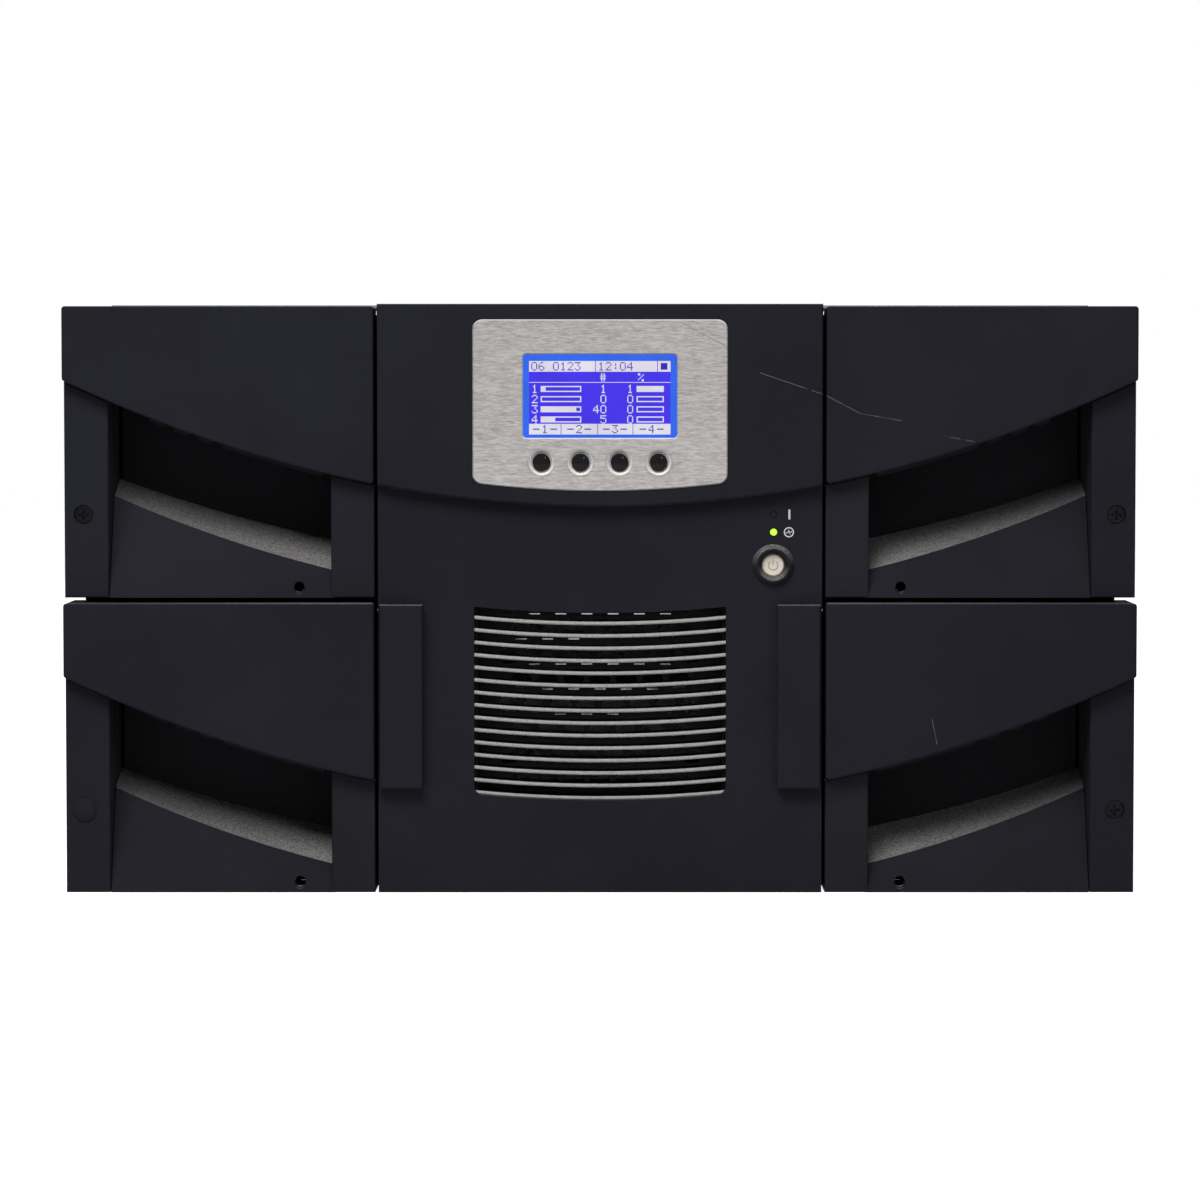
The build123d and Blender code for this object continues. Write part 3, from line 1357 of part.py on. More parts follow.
def make_supply(name, middle):
    """A power supply: housing, face with a guarded fan pocket, inlet socket and handle."""
    face = rear_face + FACE_SHEET
    fan_x = supply_x - FAN_OFFSET
    inlet = (supply_x + INLET_X, middle - INLET_DROP)
    pocket = face - FAN_POCKET
    fan_duct = FAN_RADIUS + FAN_TIP_GAP
    spider = pocket - SPIDER_BAR
    with BuildPart() as supply:
        half_w, half_h = MODULE_WIDTH / 2, SUPPLY_HEIGHT / 2
        x0, x1 = supply_x - half_w, supply_x + half_w
        z0, z1 = middle - half_h, middle + half_h
        start = rear_face - SUPPLY_LENGTH
        block(x0, x1, start, rear_face, z0, z1)
        block(
            x0 + SHEET, x1 - SHEET, start, rear_face, z0 + SHEET, z1 - SHEET, mode=Mode.SUBTRACT
        )
        block(x0 - FACE_LAP, x1 + FACE_LAP, rear_face, face, z0 - FACE_LAP, z1 + FACE_LAP)
        rod(fan_duct + SHEET, fan_x, middle, spider, rear_face)
        rod(fan_duct, fan_x, middle, spider, face, mode=Mode.SUBTRACT)
        with BuildSketch(Plane.XZ.offset(-spider)):
            with Locations((fan_x, middle)):
                Rectangle(2 * fan_duct + SHEET, SPIDER_BAR)
                Rectangle(SPIDER_BAR, 2 * fan_duct + SHEET)
                Circle(FAN_HUB_RADIUS)
        extrude(amount=-SPIDER_BAR)
        rod(FAN_PIN_RADIUS, fan_x, middle, pocket, pocket + FAN_WIDTH)
        with BuildSketch(Plane.XZ.offset(-(face - GUARD_WIRE))):
            with Locations((fan_x, middle)):
                for ring in range(1, GUARD_RINGS + 1):
                    radius = fan_duct * ring / (GUARD_RINGS + 1)
                    Circle(radius + GUARD_WIRE / 2)
                    Circle(radius - GUARD_WIRE / 2, mode=Mode.SUBTRACT)
            with Locations((fan_x, middle)):
                Rectangle(2 * fan_duct + GUARD_WIRE, GUARD_WIRE)
                Rectangle(GUARD_WIRE, 2 * fan_duct + GUARD_WIRE)
        extrude(amount=-GUARD_WIRE)
        with BuildSketch(Plane.XZ.offset(-(face - INLET_DEPTH - SHEET))):
            with Locations(inlet):
                Rectangle(INLET_WIDTH + 2 * SHEET, INLET_HEIGHT + 2 * SHEET)
        extrude(amount=-INLET_DEPTH)
        with BuildSketch(Plane.XZ.offset(-(face - INLET_DEPTH))):
            with Locations(inlet):
                socket = Rectangle(INLET_WIDTH, INLET_HEIGHT)
            chamfer(socket.vertices().group_by(Axis.Y)[-1], INLET_CORNER)
        extrude(amount=-INLET_DEPTH, mode=Mode.SUBTRACT)
        pin_y = face - INLET_DEPTH / 2 - INLET_RIM / 2
        for index in (-1, 0, 1):
            pin_z = inlet[1] + (INLET_PIN_STEP if index == 0 else 0)
            with Locations((inlet[0] + index * INLET_PIN_PITCH, pin_y, pin_z)):
                Box(INLET_PIN_WIDTH, INLET_DEPTH - INLET_RIM, INLET_PIN_HEIGHT)
        grip_x = supply_x + INLET_X
        grip_z = middle + SUPPLY_HANDLE_RISE
        handle(
            grip_x - HANDLE_BAR / 2, grip_x + HANDLE_BAR / 2,
            grip_z - SUPPLY_HANDLE / 2, grip_z + SUPPLY_HANDLE / 2, True,
        )
    finish(supply, name)


def fan_blade():
    """One pitched blade along X, on an axis along Y, rooted in the hub."""
    root = FAN_HUB_RADIUS - FAN_BLADE_ROOT
    with BuildPart() as blade:
        with BuildSketch(Plane.YZ.offset(root)):
            Rectangle(FAN_BLADE_WIDTH, FAN_BLADE_SHEET, rotation=FAN_PITCH)
        extrude(amount=FAN_RADIUS - root)
    return blade.part


def make_fan(name, middle):
    """A fan rotor: a hub on the supply's pin, with pitched blades."""
    fan_x = supply_x - FAN_OFFSET
    start = rear_face + FACE_SHEET - FAN_POCKET + FACE_GAP
    centre = Location((fan_x, start + FAN_WIDTH / 2, middle))
    blade = fan_blade()
    with BuildPart() as fan:
        rod(FAN_HUB_RADIUS, fan_x, middle, start, start + FAN_WIDTH)
        for index in range(FAN_BLADES):
            add(blade.rotate(Axis.Y, 360 / FAN_BLADES * index).moved(centre))
        rod(FAN_PIN_RADIUS + FIT, fan_x, middle, start, start + FAN_WIDTH, mode=Mode.SUBTRACT)
    finish(fan, name)


for level, middle in zip(LEVELS, supply_middles):
    make_supply(f"power_supply_{level}", middle)
    make_fan(f"supply_fan_{level}", middle)

with BuildPart() as controller:
    half_w, half_h = MODULE_WIDTH / 2, CONTROL_HEIGHT / 2
    x0, x1 = module_x - half_w, module_x + half_w
    face = rear_face + FACE_SHEET
    z0, z1 = control_z - half_h, control_z + half_h
    start = rear_face - CONTROL_LENGTH
    block(x0, x1, start, rear_face, z0, z1)
    block(x0 + SHEET, x1 - SHEET, start, rear_face, z0 + SHEET, z1 - SHEET, mode=Mode.SUBTRACT)
    block(x0 - FACE_LAP, x1 + FACE_LAP, rear_face, face, z0 - FACE_LAP, z1 + FACE_LAP)
    jack_z = z1 - JACK_DROP
    for side in SIDES.values():
        jack_x = module_x + side * JACK_PITCH / 2
        with Locations((jack_x, face - (JACK_DEPTH + SHEET) / 2, jack_z)):
            Box(JACK_WIDTH + 2 * SHEET, JACK_DEPTH + SHEET, JACK_HEIGHT + 2 * SHEET)
        with Locations((jack_x, face - JACK_DEPTH / 2, jack_z)):
            Box(JACK_WIDTH, JACK_DEPTH, JACK_HEIGHT, mode=Mode.SUBTRACT)
    with BuildSketch(Plane.XZ.offset(-rear_face)):
        with Locations((module_x, control_z - SLOT_PITCH)):
            with GridLocations(SLOT_LENGTH, SLOT_PITCH, 1, SLOT_ROWS):
                SlotOverall(SLOT_LENGTH, SLOT_WIDTH)
    extrude(amount=-FACE_SHEET, mode=Mode.SUBTRACT)
    for side in SIDES.values():
        thumb_z = control_z + side * (half_h - 2 * THUMB_RADIUS)
        rod(THUMB_RADIUS, module_x, thumb_z, face, face + THUMB_LENGTH)
finish(controller, "controller")
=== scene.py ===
# %% [markdown]
# # Dressing a rack-mounted tape library
# The solids already have their true size and place, so this script adds what a photograph shows on
# top of them: the grain of black mouldings, a brushed display plate, a lit picture behind glass,
# printed marks, and the small metal things that catch the light. Everything is in metres, in the
# frame of the solids: X to the right, Y to the back, Z up.

# %% Load the frame
from math import atan2, pi, radians, sqrt

import bmesh
import bpy
from mathutils import Matrix, Vector


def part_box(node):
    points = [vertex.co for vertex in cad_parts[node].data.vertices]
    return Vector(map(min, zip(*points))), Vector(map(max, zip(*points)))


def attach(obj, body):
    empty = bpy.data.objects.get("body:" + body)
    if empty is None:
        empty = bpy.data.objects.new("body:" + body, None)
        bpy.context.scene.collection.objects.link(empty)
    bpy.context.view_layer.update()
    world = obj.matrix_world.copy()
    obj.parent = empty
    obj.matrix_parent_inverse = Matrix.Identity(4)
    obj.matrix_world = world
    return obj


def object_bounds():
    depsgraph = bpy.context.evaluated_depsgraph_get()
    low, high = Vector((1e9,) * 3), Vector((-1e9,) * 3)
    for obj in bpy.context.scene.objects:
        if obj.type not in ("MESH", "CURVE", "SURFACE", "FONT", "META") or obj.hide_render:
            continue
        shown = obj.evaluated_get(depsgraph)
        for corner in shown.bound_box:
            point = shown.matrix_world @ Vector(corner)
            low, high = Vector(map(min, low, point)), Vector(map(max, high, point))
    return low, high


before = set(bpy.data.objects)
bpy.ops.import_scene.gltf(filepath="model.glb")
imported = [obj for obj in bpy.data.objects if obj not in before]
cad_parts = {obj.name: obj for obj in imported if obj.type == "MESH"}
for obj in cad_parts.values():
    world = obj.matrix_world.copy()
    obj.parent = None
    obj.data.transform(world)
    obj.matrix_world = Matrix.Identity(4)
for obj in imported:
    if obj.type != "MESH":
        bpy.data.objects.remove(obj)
cad_low, cad_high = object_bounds()
MM = 0.001
LEVELS = ("lower", "upper")
SIDES = {"left": -1, "right": 1}
print("solids span", [round(v, 4) for v in cad_high - cad_low])

# %% [markdown]
# ## Camera
# A product shot of a rack unit is taken from far away with a long lens, so that its edges stay
# parallel. The lens follows from two measures: how far away the camera stands, and how wide the
# square picture is at the plane of the magazine fronts. The camera stands a little above the
# middle of the unit and looks slightly down on it.

# %% Camera
VIEW_WIDTH = 0.5382
CAMERA_DISTANCE = 1.9
CAMERA_RISE = 0.092
SENSOR = 36.0

hood_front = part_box("hood_lower_left")[0].y
aim = Vector((0, hood_front, (cad_low.z + cad_high.z) / 2))
camera_data = bpy.data.cameras.new("camera")
camera_data.sensor_width = SENSOR
camera_data.lens = SENSOR * CAMERA_DISTANCE / VIEW_WIDTH
camera = bpy.data.objects.new("camera", camera_data)
camera.location = aim + Vector((0, -CAMERA_DISTANCE, CAMERA_RISE))
camera.rotation_euler = (aim - camera.location).to_track_quat("-Z", "Y").to_euler()
bpy.context.scene.collection.objects.link(camera)
bpy.context.scene.camera = camera
bpy.context.scene.view_settings.view_transform = "Standard"
print("lens", round(camera_data.lens, 1), "mm")

# %% [markdown]
# ## Nodes in a line
# Every finish below is a small graph of shader nodes. In the editor a graph is drawn, and in a script it
# is easily lost in long lines. A few helpers keep it readable: one adds a node and connects its inputs, and
# the others are the steps that come back all the time, such as spreading a value over a new range.


# %% Node helpers
def add_node(tree, kind, inputs=None, **settings):
    """A shader node. Each input is a plain value or the output of another node."""
    made = tree.nodes.new("ShaderNode" + kind)
    for name, value in settings.items():
        setattr(made, name, value)
    for key, value in (inputs or {}).items():
        if isinstance(value, bpy.types.NodeSocket):
            tree.links.new(value, made.inputs[key])
        else:
            made.inputs[key].default_value = value
    return made


def spread(tree, value, low, high, to_low=0.0, to_high=1.0):
    """Maps a value from low..high to to_low..to_high, held at both ends."""
    inputs = {
        "Value": value, "From Min": low, "From Max": high, "To Min": to_low, "To Max": to_high,
    }
    return add_node(tree, "MapRange", inputs).outputs["Result"]


def math(tree, operation, first, second=0.0):
    """One step of arithmetic on values."""
    return add_node(tree, "Math", {0: first, 1: second}, operation=operation).outputs[0]


def mix_colours(tree, factor, first, second):
    """A colour between first, at 0, and second, at 1."""
    def whole(value):
        return value if isinstance(value, bpy.types.NodeSocket) else (*value, 1.0)

    mixer = add_node(
        tree, "Mix", {0: factor, 6: whole(first), 7: whole(second)}, data_type="RGBA"
    )
    return mixer.outputs[2]


def noise(tree, place, scale, detail=3.0, roughness=0.55):
    """Cloudy noise, about 0.5 on average, with features 1 / scale metres wide."""
    inputs = {"Vector": place, "Scale": scale, "Detail": detail, "Roughness": roughness}
    return add_node(tree, "TexNoise", inputs).outputs["Fac"]


def object_place(tree, scale=(1, 1, 1)):
    """The place of a point on the object in metres, stretched for a pattern."""
    place = add_node(tree, "TexCoord").outputs["Object"]
    return add_node(tree, "Mapping", {"Vector": place, "Scale": scale}).outputs[0]


# %% [markdown]
# ## A finish and its shader
# A finish starts as a new material with one shader, whose plain values are set on its sockets. What varies
# over the surface is connected to them later. The solids came with plain materials, and only their material
# slots are changed here, never their shapes.


# %% Finishes
def start_finish(name, roughness=0.5, metallic=0.0, specular=0.5):
    """A new material, its node tree and its shader."""
    material = bpy.data.materials.new(name)
    material.use_nodes = True
    shader = material.node_tree.nodes["Principled BSDF"]
    shader.inputs["Roughness"].default_value = roughness
    shader.inputs["Metallic"].default_value = metallic
    shader.inputs["Specular IOR Level"].default_value = specular
    return material, material.node_tree, shader


def connect(tree, shader, **outputs):
    """Feeds the shader's sockets, named with an underscore for a space."""
    for name, output in outputs.items():
        tree.links.new(output, shader.inputs[name.replace("_", " ")])


def relief(tree, height, depth, strength=1.0):
    """A bump of the given depth in metres."""
    return add_node(
        tree, "Bump", {"Height": height, "Distance": depth, "Strength": strength}
    ).outputs["Normal"]


def dress(material, *nodes):
    """Gives CAD nodes a finish in place of the plain one they came with."""
    for node in nodes:
        for material_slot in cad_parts[node].material_slots:
            material_slot.material = material


# %% [markdown]
# ## Studio
# One softbox stands in front, to the left and about forty degrees up: so high that the hoods shade the
# backs of their finger scoops, and so low that their ledges stay lit. A weak fill and a grey sky open
# the shadows, and two lamps light the back. Only a small, weak lamp shows in mirrors: it puts a spark on
# what is glossy. The sky reads as white to the camera, and to mirrors and glass, without lighting the unit
# any more.

# %% Sky and lamps
SKY_LIGHT = 0.12
LAMPS = {
    "softbox": ((-0.26, -1.10, 0.98), (0.7, 0.5), 14.0),
    "fill": ((1.0, -1.8, 0.70), (0.8, 0.8), 2.0),
    "spark": ((0.45, -1.6, 0.80), (0.14, 0.14), 1.2),
    "overhead": ((0.0, 0.1, 2.0), (1.6, 1.0), 4.0),
    "back": ((-0.7, 2.2, 1.3), (1.2, 1.0), 12.0),
}


def seen_directly(tree):
    """One for what the camera sees, straight or through a mirror or glass, and zero for light."""
    path = add_node(tree, "LightPath").outputs
    mirrored = math(tree, "MAXIMUM", path["Is Glossy Ray"], path["Is Transmission Ray"])
    return math(tree, "MAXIMUM", path["Is Camera Ray"], mirrored)


world = bpy.data.worlds.new("studio_sky")
world.use_nodes = True
bpy.context.scene.world = world
sky = world.node_tree
sky.nodes["Background"].inputs["Color"].default_value = (1, 1, 1, 1)
sky_strength = spread(sky, seen_directly(sky), 0, 1, SKY_LIGHT, 1.0)
sky.links.new(sky_strength, sky.nodes["Background"].inputs["Strength"])

for lamp_name, (place, size, power) in LAMPS.items():
    lamp = bpy.data.lights.new(lamp_name, "AREA")
    lamp.shape = "RECTANGLE"
    lamp.size, lamp.size_y = size
    lamp.energy = power
    holder = bpy.data.objects.new(lamp_name, lamp)
    holder.location = place
    holder.visible_glossy = lamp_name == "spark"
    target = Vector((0, hood_front if place[1] < 0 else cad_high.y, aim.z))
    holder.rotation_euler = (target - holder.location).to_track_quat("-Z", "Y").to_euler()
    bpy.context.scene.collection.objects.link(holder)
print("studio:", ", ".join(LAMPS))

# %% [markdown]
# ## Floor
# A plain pale floor carries the shadow of the unit. It could be lit until it turns white, but then the unit
# would be too bright as well. So a glow that only the camera, mirrors and glass see lifts it to white.

# %% Floor
FLOOR_HALF = 6.0
FLOOR_GLOW = 0.88
FLOOR_COLOUR = (0.86, 0.86, 0.86)
floor_finish, floor_tree, floor_shader = start_finish("pale_floor", roughness=0.9, specular=0.1)
floor_shader.inputs["Base Color"].default_value = (*FLOOR_COLOUR, 1)
floor_shader.inputs["Emission Color"].default_value = (1, 1, 1, 1)
floor_glow = spread(floor_tree, seen_directly(floor_tree), 0, 1, 0, FLOOR_GLOW)
connect(floor_tree, floor_shader, Emission_Strength=floor_glow)
builder = bmesh.new()
bmesh.ops.create_grid(builder, x_segments=1, y_segments=1, size=FLOOR_HALF)
floor_mesh = bpy.data.meshes.new("floor")
builder.to_mesh(floor_mesh)
builder.free()
floor_mesh.materials.append(floor_finish)
floor = bpy.data.objects.new("floor", floor_mesh)
floor.location.z = cad_low.z
bpy.context.scene.collection.objects.link(floor)
print("floor at", round(cad_low.z, 4))

# %% [markdown]
# ## Scratches
# The unit has been handled, so a few hairline scratches cross the right-hand fronts. They could be cut into
# the mesh, but a scratch has no depth that shows. Each is the distance from a line between two points of
# the front, turned into a thin pale stroke that noise breaks up.

# %% Scratches
SCRAPED = (0.15, 0.15, 0.16)
SCRATCHES = [
    ((0.0717, 0.2346), (0.1009, 0.2247)), ((0.1009, 0.2247), (0.1167, 0.2164)),
    ((0.1167, 0.2164), (0.1351, 0.2132)), ((0.1547, 0.2062), (0.1680, 0.2038)),
    ((0.1494, 0.0789), (0.1516, 0.0677)),
]
SCRATCH_HALF = 0.16 * MM
SCRATCH_FLOOR = 2.0 * MM


def vectors(tree, operation, first, second, output="Vector"):
    """One step of arithmetic on vectors."""
    inputs = {0: first, "Scale" if operation == "SCALE" else 1: second}
    return add_node(tree, "VectorMath", inputs, operation=operation).outputs[output]


def stroke(tree, place, start, end, half_width):
    """One within a thin stroke between two points of the front, each an X and a Z."""
    first = Vector((start[0], 0, start[1]))
    along = Vector((end[0], 0, end[1])) - first
    flat = vectors(tree, "MULTIPLY", place, (1, 0, 1))
    from_first = vectors(tree, "SUBTRACT", flat, first)
    share = vectors(tree, "DOT_PRODUCT", from_first, along, "Value")
    share = spread(tree, share, 0, along.length_squared)
    step = vectors(tree, "SCALE", along, share)
    away = vectors(tree, "DISTANCE", from_first, step, "Value")
    return spread(tree, away, 0.5 * half_width, half_width, 1, 0)


def scratches(tree, place):
    """Hairline scratches on what lies at the plane of the hoods."""
    depth = add_node(tree, "SeparateXYZ", {0: place}).outputs["Y"]
    marks = spread(tree, noise(tree, place, 260, detail=2.0), 0.35, 0.55, 0, 0.7)
    strokes = 0.0
    for start, end in SCRATCHES:
        strokes = math(tree, "MAXIMUM", stroke(tree, place, start, end, SCRATCH_HALF), strokes)
    outside = spread(tree, depth, hood_front + SCRATCH_FLOOR, hood_front + SCRATCH_FLOOR + MM, 1, 0)
    return math(tree, "MULTIPLY", math(tree, "MULTIPLY", strokes, outside), marks)


print(len(SCRATCHES), "scratches")

# %% [markdown]
# ## Black mouldings
# The fronts are injection mouldings from a spark-eroded mould: near black, with a fine grain that
# breaks up reflections. A plain dark colour looks like a hole in the picture, so the grain is both
# a bump and a change of gloss, and a slow mottling varies the colour. Where a face looks up, a pale grey
# is mixed in that is partly dust and partly a painted highlight, and a painted fade makes it weaker away
# from the middle of the unit. Upward faces are found from the surface normal, so the pale grey stays put
# in any view.
# The same grain, in other colours and with other gloss, later serves keys, prints, rubber and satin metal.

# %% Black moulding
# A pale grey for upward faces, partly dust and partly a painted highlight where light falls from above.
DUST_AND_HIGHLIGHT = (0.33, 0.32, 0.31)
PAINTED_FADE_SPAN, PAINTED_FADE_FLOOR = (0.12, 0.22), 0.45


def facing_up(tree):
    """The upward part of the surface normal, from -1 to 1."""
    normal = add_node(tree, "NewGeometry").outputs["Normal"]
    return add_node(tree, "SeparateXYZ", {0: normal}).outputs["Z"]


def grained_finish(
    name, colour, dust_and_highlight=0.5, upward_range=(0.70, 1.0), grain=1500, roughness=(0.45, 0.65), relief_depth=4e-5,
    gloss=0.02, worn=False,
):
    """A fine grain, with a pale grey on upward faces, part dust and part painted highlight, fading to the
    sides.
    """
    material, tree, shader = start_finish(name, specular=gloss)
    place = object_place(tree)
    fine = noise(tree, place, grain, detail=2.0, roughness=0.7)
    mottle = spread(tree, noise(tree, place, 14, detail=5.0), 0.35, 0.65)
    body = mix_colours(tree, mottle, colour, tuple(1.2 * part for part in colour))
    speck = spread(tree, noise(tree, place, 900, detail=2.0, roughness=0.8), 0.35, 0.65, 0.3, 1.0)
    across = math(tree, "ABSOLUTE", add_node(tree, "SeparateXYZ", {0: place}).outputs["X"])
    # Away from the middle of the unit the pale grey fades: a painted fade of light.
    speck = math(tree, "MULTIPLY", speck, spread(tree, across, *PAINTED_FADE_SPAN, 1.0, PAINTED_FADE_FLOOR))
    # Faces that look up get the pale grey, partly dust and partly a painted highlight.
    pale_share = math(tree, "MULTIPLY", spread(tree, facing_up(tree), *upward_range, 0, dust_and_highlight), speck)
    shade = mix_colours(tree, pale_share, body, DUST_AND_HIGHLIGHT)
    if worn:
        shade = mix_colours(tree, scratches(tree, place), shade, SCRAPED)
    connect(
        tree, shader,
        Base_Color=shade,
        Roughness=spread(tree, fine, 0.3, 0.7, *roughness),
        Normal=relief(tree, fine, relief_depth),
    )
    return material


front_black = grained_finish("front_black", (0.0118, 0.0118, 0.0160), worn=True)
# In the scoops the pale grey is at full strength: partly dust, partly a painted highlight on the ledges
# where light falls.
scoop_black = grained_finish(
    "scoop_black", (0.0132, 0.0131, 0.0170), dust_and_highlight=1.0, grain=1000, relief_depth=9e-5
)
# On the power ring the pale grey begins on faces that barely look up, so it is mostly a painted highlight:
# on the top of the outer slope and at the bottom of the funnel.
ring_black = grained_finish("ring_black", (0.012, 0.012, 0.014), dust_and_highlight=0.45, upward_range=(0.0, 0.7))
dress(front_black, "front_panel", "screw_cap")
dress(ring_black, "power_ring")
for side in SIDES:
    dress(front_black, f"ear_covers_{side}")
    for level in LEVELS:
        dress(front_black, f"hood_{level}_{side}")
        dress(scoop_black, f"pull_{level}_{side}")
print("black mouldings:", front_black.name, scoop_black.name, ring_black.name)

# %% [markdown]
# ## Louvres
# The blades of the grille are painted black, and their front edges are left as they were cut: pale,
# rough and matt. The finish tells them apart by depth, with a boundary that a little noise frays.

# %% Louvres
grille_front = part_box("vent_grille")[0].y
CUT_DEPTH = 0.6 * MM
FRAY = 0.1 * MM
CUT_DARK, CUT_LIGHT = (0.12, 0.117, 0.114), (0.50, 0.49, 0.485)
BLADE_BLACK = (0.005, 0.005, 0.006)


def louvre_finish():
    """Black paint with pale cut edges at the front."""
    material, tree, shader = start_finish("louvre_finish", roughness=0.7, specular=0.05)
    place = object_place(tree)
    depth = add_node(tree, "SeparateXYZ", {0: place}).outputs["Y"]
    grit = noise(tree, place, 2600, detail=3.0, roughness=0.8)
    frayed = math(tree, "ADD", depth, spread(tree, grit, 0.3, 0.7, -FRAY, FRAY))
    cut = spread(tree, frayed, grille_front + CUT_DEPTH, grille_front + 1.2 * CUT_DEPTH, 1, 0)
    pale = mix_colours(tree, spread(tree, grit, 0.35, 0.65), CUT_DARK, CUT_LIGHT)
    connect(
        tree, shader,
        Base_Color=mix_colours(tree, cut, BLADE_BLACK, pale),
        Normal=relief(tree, grit, 6e-5),
    )
    return material


dress(louvre_finish(), "vent_grille")
print("grille front at", round(grille_front, 4))

# %% [markdown]
# ## Brushed display plate
# The plate is aluminium, brushed along its length and then punched and countersunk for the keys.
# Brushing is noise stretched along X: long streaks that vary the colour, the gloss and the surface.
# Around each key a shallow satin dish is turned, so the streaks stop at its rim, and fingers have left
# grime just outside it. Cut edges carry a painted highlight where they look up and painted shade where
# they look down, and each dish a painted shade at its top and a painted highlight at its bottom.

# %% Brushed plate
KEY_NODES = [f"softkey_{index}" for index in range(1, 5)]


def middle(node):
    """The middle of a CAD node's box."""
    low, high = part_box(node)
    return (low + high) / 2


key_middles = [middle(node) for node in KEY_NODES]
SINK_RADIUS = 5.75 * MM
GRIME_REACH = 2.2 * MM
PLATE_SCRATCH = ((0.0372, 0.2566), (0.0561, 0.2467))
SILVER_DARK, SILVER_LIGHT = (0.245, 0.231, 0.224), (0.50, 0.478, 0.464)
# Painted shade and painted highlight for the dishes and the cut edges, chosen by which way a face looks.
DISH_PAINTED_SHADE, DISH_PAINTED_HIGHLIGHT = (0.16, 0.152, 0.145), (0.72, 0.70, 0.68)
EDGE_PAINTED_SHADE, EDGE_PAINTED_HIGHLIGHT = (0.17, 0.165, 0.16), (0.97, 0.96, 0.94)
GRIME = (0.20, 0.18, 0.155)
PLATE_SCRAPED = (0.10, 0.095, 0.09)


def mix_values(tree, factor, first, second):
    """A value between first, at 0, and second, at 1."""
    return add_node(tree, "Mix", {0: factor, 2: first, 3: second}, data_type="FLOAT").outputs[0]


def from_keys(tree, place):
    """The distance from the middle of the nearest key."""
    nearest = 1.0
    for key in key_middles:
        flat = vectors(tree, "MULTIPLY", place, (1, 0, 1))
        away = vectors(tree, "DISTANCE", flat, (key.x, 0, key.z), "Value")
        nearest = math(tree, "MINIMUM", away, nearest)
    return nearest


def brushed_plate():
    """Aluminium brushed along X, turned round the keys, a little soiled, with painted light and shade on
    edges and dishes.
    """
    material, tree, shader = start_finish("brushed_plate", metallic=1.0)
    place = object_place(tree)
    streak = noise(tree, object_place(tree, (200, 1, 1500)), 1.0, detail=6.0, roughness=0.7)
    hair = noise(tree, object_place(tree, (450, 1, 5000)), 1.0, detail=2.0)
    cloud = noise(tree, place, 40, detail=5.0, roughness=0.65)
    parts = [math(tree, "MULTIPLY", streak, 0.6), math(tree, "MULTIPLY", hair, 0.4)]
    brushing = spread(tree, math(tree, "ADD", *parts), 0.36, 0.64)
    silver = mix_colours(tree, brushing, SILVER_DARK, SILVER_LIGHT)
    reach = from_keys(tree, place)
    turned = spread(tree, reach, SINK_RADIUS, SINK_RADIUS + 0.1 * MM, 1, 0)
    near_keys = spread(tree, reach, SINK_RADIUS, SINK_RADIUS + GRIME_REACH, 1, 0)
    halo = spread(tree, math(tree, "MULTIPLY", near_keys, cloud), 0.25, 0.7, 0, 0.8)
    grime = math(tree, "ADD", spread(tree, cloud, 0.55, 0.8, 0, 0.25), halo)
    soiled = mix_colours(tree, grime, silver, GRIME)
    scraped = stroke(tree, place, *PLATE_SCRATCH, SCRATCH_HALF)
    soiled = mix_colours(tree, math(tree, "MULTIPLY", scraped, 0.8), soiled, PLATE_SCRAPED)
    # Cut edges: painted highlight where they look up, painted shade where they look down.
    up = facing_up(tree)
    face = mix_colours(tree, spread(tree, up, 0.1, 0.5), soiled, EDGE_PAINTED_HIGHLIGHT)
    face = mix_colours(tree, spread(tree, up, -0.5, -0.1, 1, 0), face, EDGE_PAINTED_SHADE)
    # Dishes: painted shade where they look down, at the top, and a painted highlight at the bottom.
    dish = mix_colours(tree, spread(tree, up, -0.5, 0.5), DISH_PAINTED_SHADE, DISH_PAINTED_HIGHLIGHT)
    connect(
        tree, shader,
        Base_Color=mix_colours(tree, turned, face, dish),
        Metallic=spread(tree, turned, 0, 1, 1.0, 0.25),
        Roughness=mix_values(tree, turned, spread(tree, brushing, 0, 1, 0.28, 0.44), 0.22),
        Normal=relief(tree, math(tree, "MULTIPLY", brushing, math(tree, "SUBTRACT", 1.0, turned)), 1.5e-5),
    )
    return material


dress(brushed_plate(), "display_plate")
print("display plate with", len(key_middles), "dishes of radius", SINK_RADIUS)

# %% [markdown]
# ## Metal sheet, rods and screws
# The chassis is zinc-plated sheet, whose crystals show as faint patches. Ground rods and screws are
# brighter, the drive and the robot's frame are satin aluminium, and the screws in the ears are black.
# All of them are one graph with other colours, gloss and grain. It can also turn black inside some boxes,
# for paint and plastic on the same solid.

# %% Metals
INNER_BLACK = (0.012, 0.012, 0.013)
ZINC = ((0.27, 0.275, 0.28), (0.40, 0.405, 0.41))


def within(tree, place, boxes):
    """One inside any of some boxes, each given by its two corners."""
    parts = add_node(tree, "SeparateXYZ", {0: place}).outputs
    found = 0.0
    for low, high in boxes:
        inside = 1.0
        for axis, least, most in zip("XYZ", low, high):
            above = math(tree, "GREATER_THAN", parts[axis], least)
            below = math(tree, "LESS_THAN", parts[axis], most)
            inside = math(tree, "MULTIPLY", math(tree, "MULTIPLY", above, below), inside)
        found = math(tree, "MAXIMUM", inside, found)
    return found


